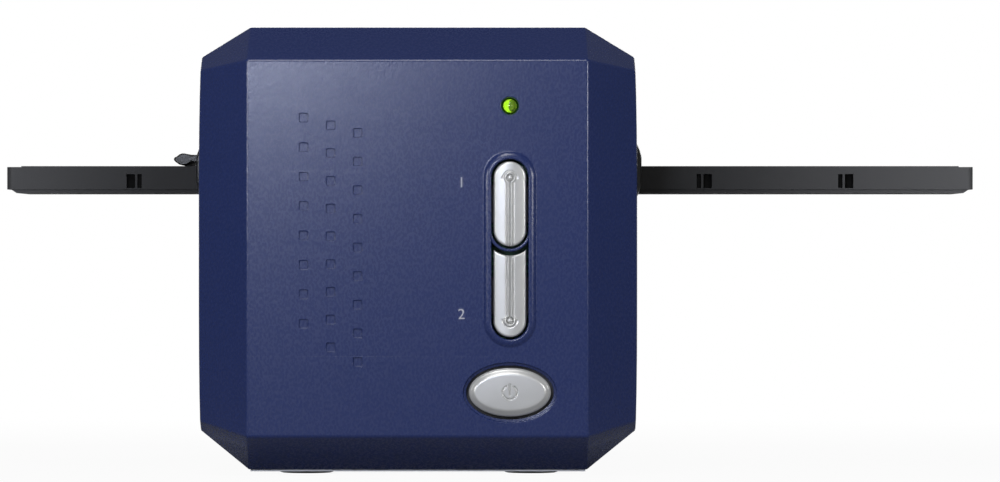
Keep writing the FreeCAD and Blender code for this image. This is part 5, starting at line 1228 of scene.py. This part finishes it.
def bright_share(graph, behind):
    """One for the camera's rays, and for glossy rays as far as they end behind the object."""
    path = graph.add("LightPath")
    shiny = graph.add("Math", {0: (path, "Is Glossy Ray"), 1: behind}, operation="MULTIPLY")
    either = graph.add("Math", {0: (path, "Is Camera Ray"), 1: shiny}, operation="MAXIMUM")
    return path, either


def stage_floor():
    """A wide pale sheet. The camera and shiny things see it lifted towards white, and the
    object's shadow stays on it."""
    shader, graph, place = new_material("pale_floor")
    graph.put(shader, {"Base Color": (0.34, 0.34, 0.34, 1), "Roughness": 0.9})
    away = graph.add("VectorMath", {0: place}, operation="LENGTH")
    fade = graph.add("MapRange", {"Value": (away, "Value")},
                     span(FADE_FROM * MM, FADE_TO * MM, FADE_LEAST))
    split = graph.add("SeparateXYZ", {"Vector": place})
    behind = graph.add("MapRange", {"Value": (split, "Y")}, span(BEHIND_FROM * MM, BEHIND_TO * MM))
    seen = bright_share(graph, behind)[1]
    share = graph.add("Math", {0: seen, 1: fade}, operation="MULTIPLY")
    mix = graph.add("MixShader", {"Fac": share, 1: shader, 2: graph.add("Emission")})
    graph.wire(graph.tree.nodes["Material Output"], {"Surface": mix})
    mesh = bpy.data.meshes.new("floor")
    half = FLOOR_HALF * MM
    corners = [(x * half, y * half, 0) for x, y in ((-1, -1), (1, -1), (1, 1), (-1, 1))]
    mesh.from_pydata(corners, [], [(0, 1, 2, 3)])
    mesh.materials.append(finishes["pale_floor"])
    placed("floor", mesh)


def surroundings():
    """White for the camera and behind the object, a dim room in front of it for reflections,
    and an even pale light for everything else."""
    world = bpy.data.worlds.new("studio")
    bpy.context.scene.world = world
    graph = Graph(world)
    white = {"Color": (1, 1, 1, 1)}
    even = graph.tree.nodes["Background"]
    graph.put(even, {**white, "Strength": EVEN_LIGHT})
    split = graph.add("SeparateXYZ", {"Vector": (graph.add("TexCoord"), "Generated")})
    behind = graph.add("MapRange", {"Value": (split, "Y")}, span(0.90, 0.99))
    path, either = bright_share(graph, behind)
    clear = graph.add("Math", {0: (path, "Is Transmission Ray"), 1: either}, operation="MAXIMUM")
    bright = graph.add("Background", (), white)
    mix = graph.add("MixShader", {"Fac": clear, 1: even, 2: bright})
    graph.wire(graph.tree.nodes["World Output"], {"Surface": mix})


def soft_lamp(name, place, target, size, watts, colour=(1, 1, 1)):
    """A rectangular area light at a place, turned to a target."""
    data = bpy.data.lights.new(name, "AREA")
    data.shape = "RECTANGLE"
    data.size, data.size_y = size[0] * MM, size[1] * MM
    data.energy = watts
    data.color = colour
    lamp = placed(name, data)
    lamp.location = Vector(place) * MM
    lamp.rotation_mode = "QUATERNION"
    lamp.rotation_quaternion = (Vector(target) - Vector(place)).to_track_quat("-Z", "Y")


CAMERA_PLACE, CAMERA_LENS = (21.7, -2122.0, 62.0), 272.2


def camera():
    """A long lens two metres before the front panel, level, at the height of the middle."""
    data = bpy.data.cameras.new("camera")
    data.sensor_width = 36.0
    data.lens = CAMERA_LENS
    data.clip_end = 20.0
    made = placed("camera", data)
    made.location = Vector(CAMERA_PLACE) * MM
    made.rotation_euler = (math.pi / 2, 0, 0)
    bpy.context.scene.camera = made


stage_floor()
surroundings()
soft_lamp("upper_left_lamp", (-78, -550, 163), (-20, -136, 80), (80, 60), 0.60, (0.80, 0.85, 1.0))
soft_lamp("front_upper_lamp", (-60, -560, 600), (0, -136, 62), (260, 260), 1.6)
soft_lamp("right_end_lamp", (205, -330, 105), (110, -90, 80), (70, 50), 0.17)
soft_lamp("left_end_lamp", (-185, -330, 105), (-100, -90, 80), (60, 50), 0.15)
soft_lamp("rear_lamp", (0, 720, 300), (0, 100, 60), (520, 520), 3.0)
camera()
bpy.context.scene.view_settings.view_transform = "Standard"
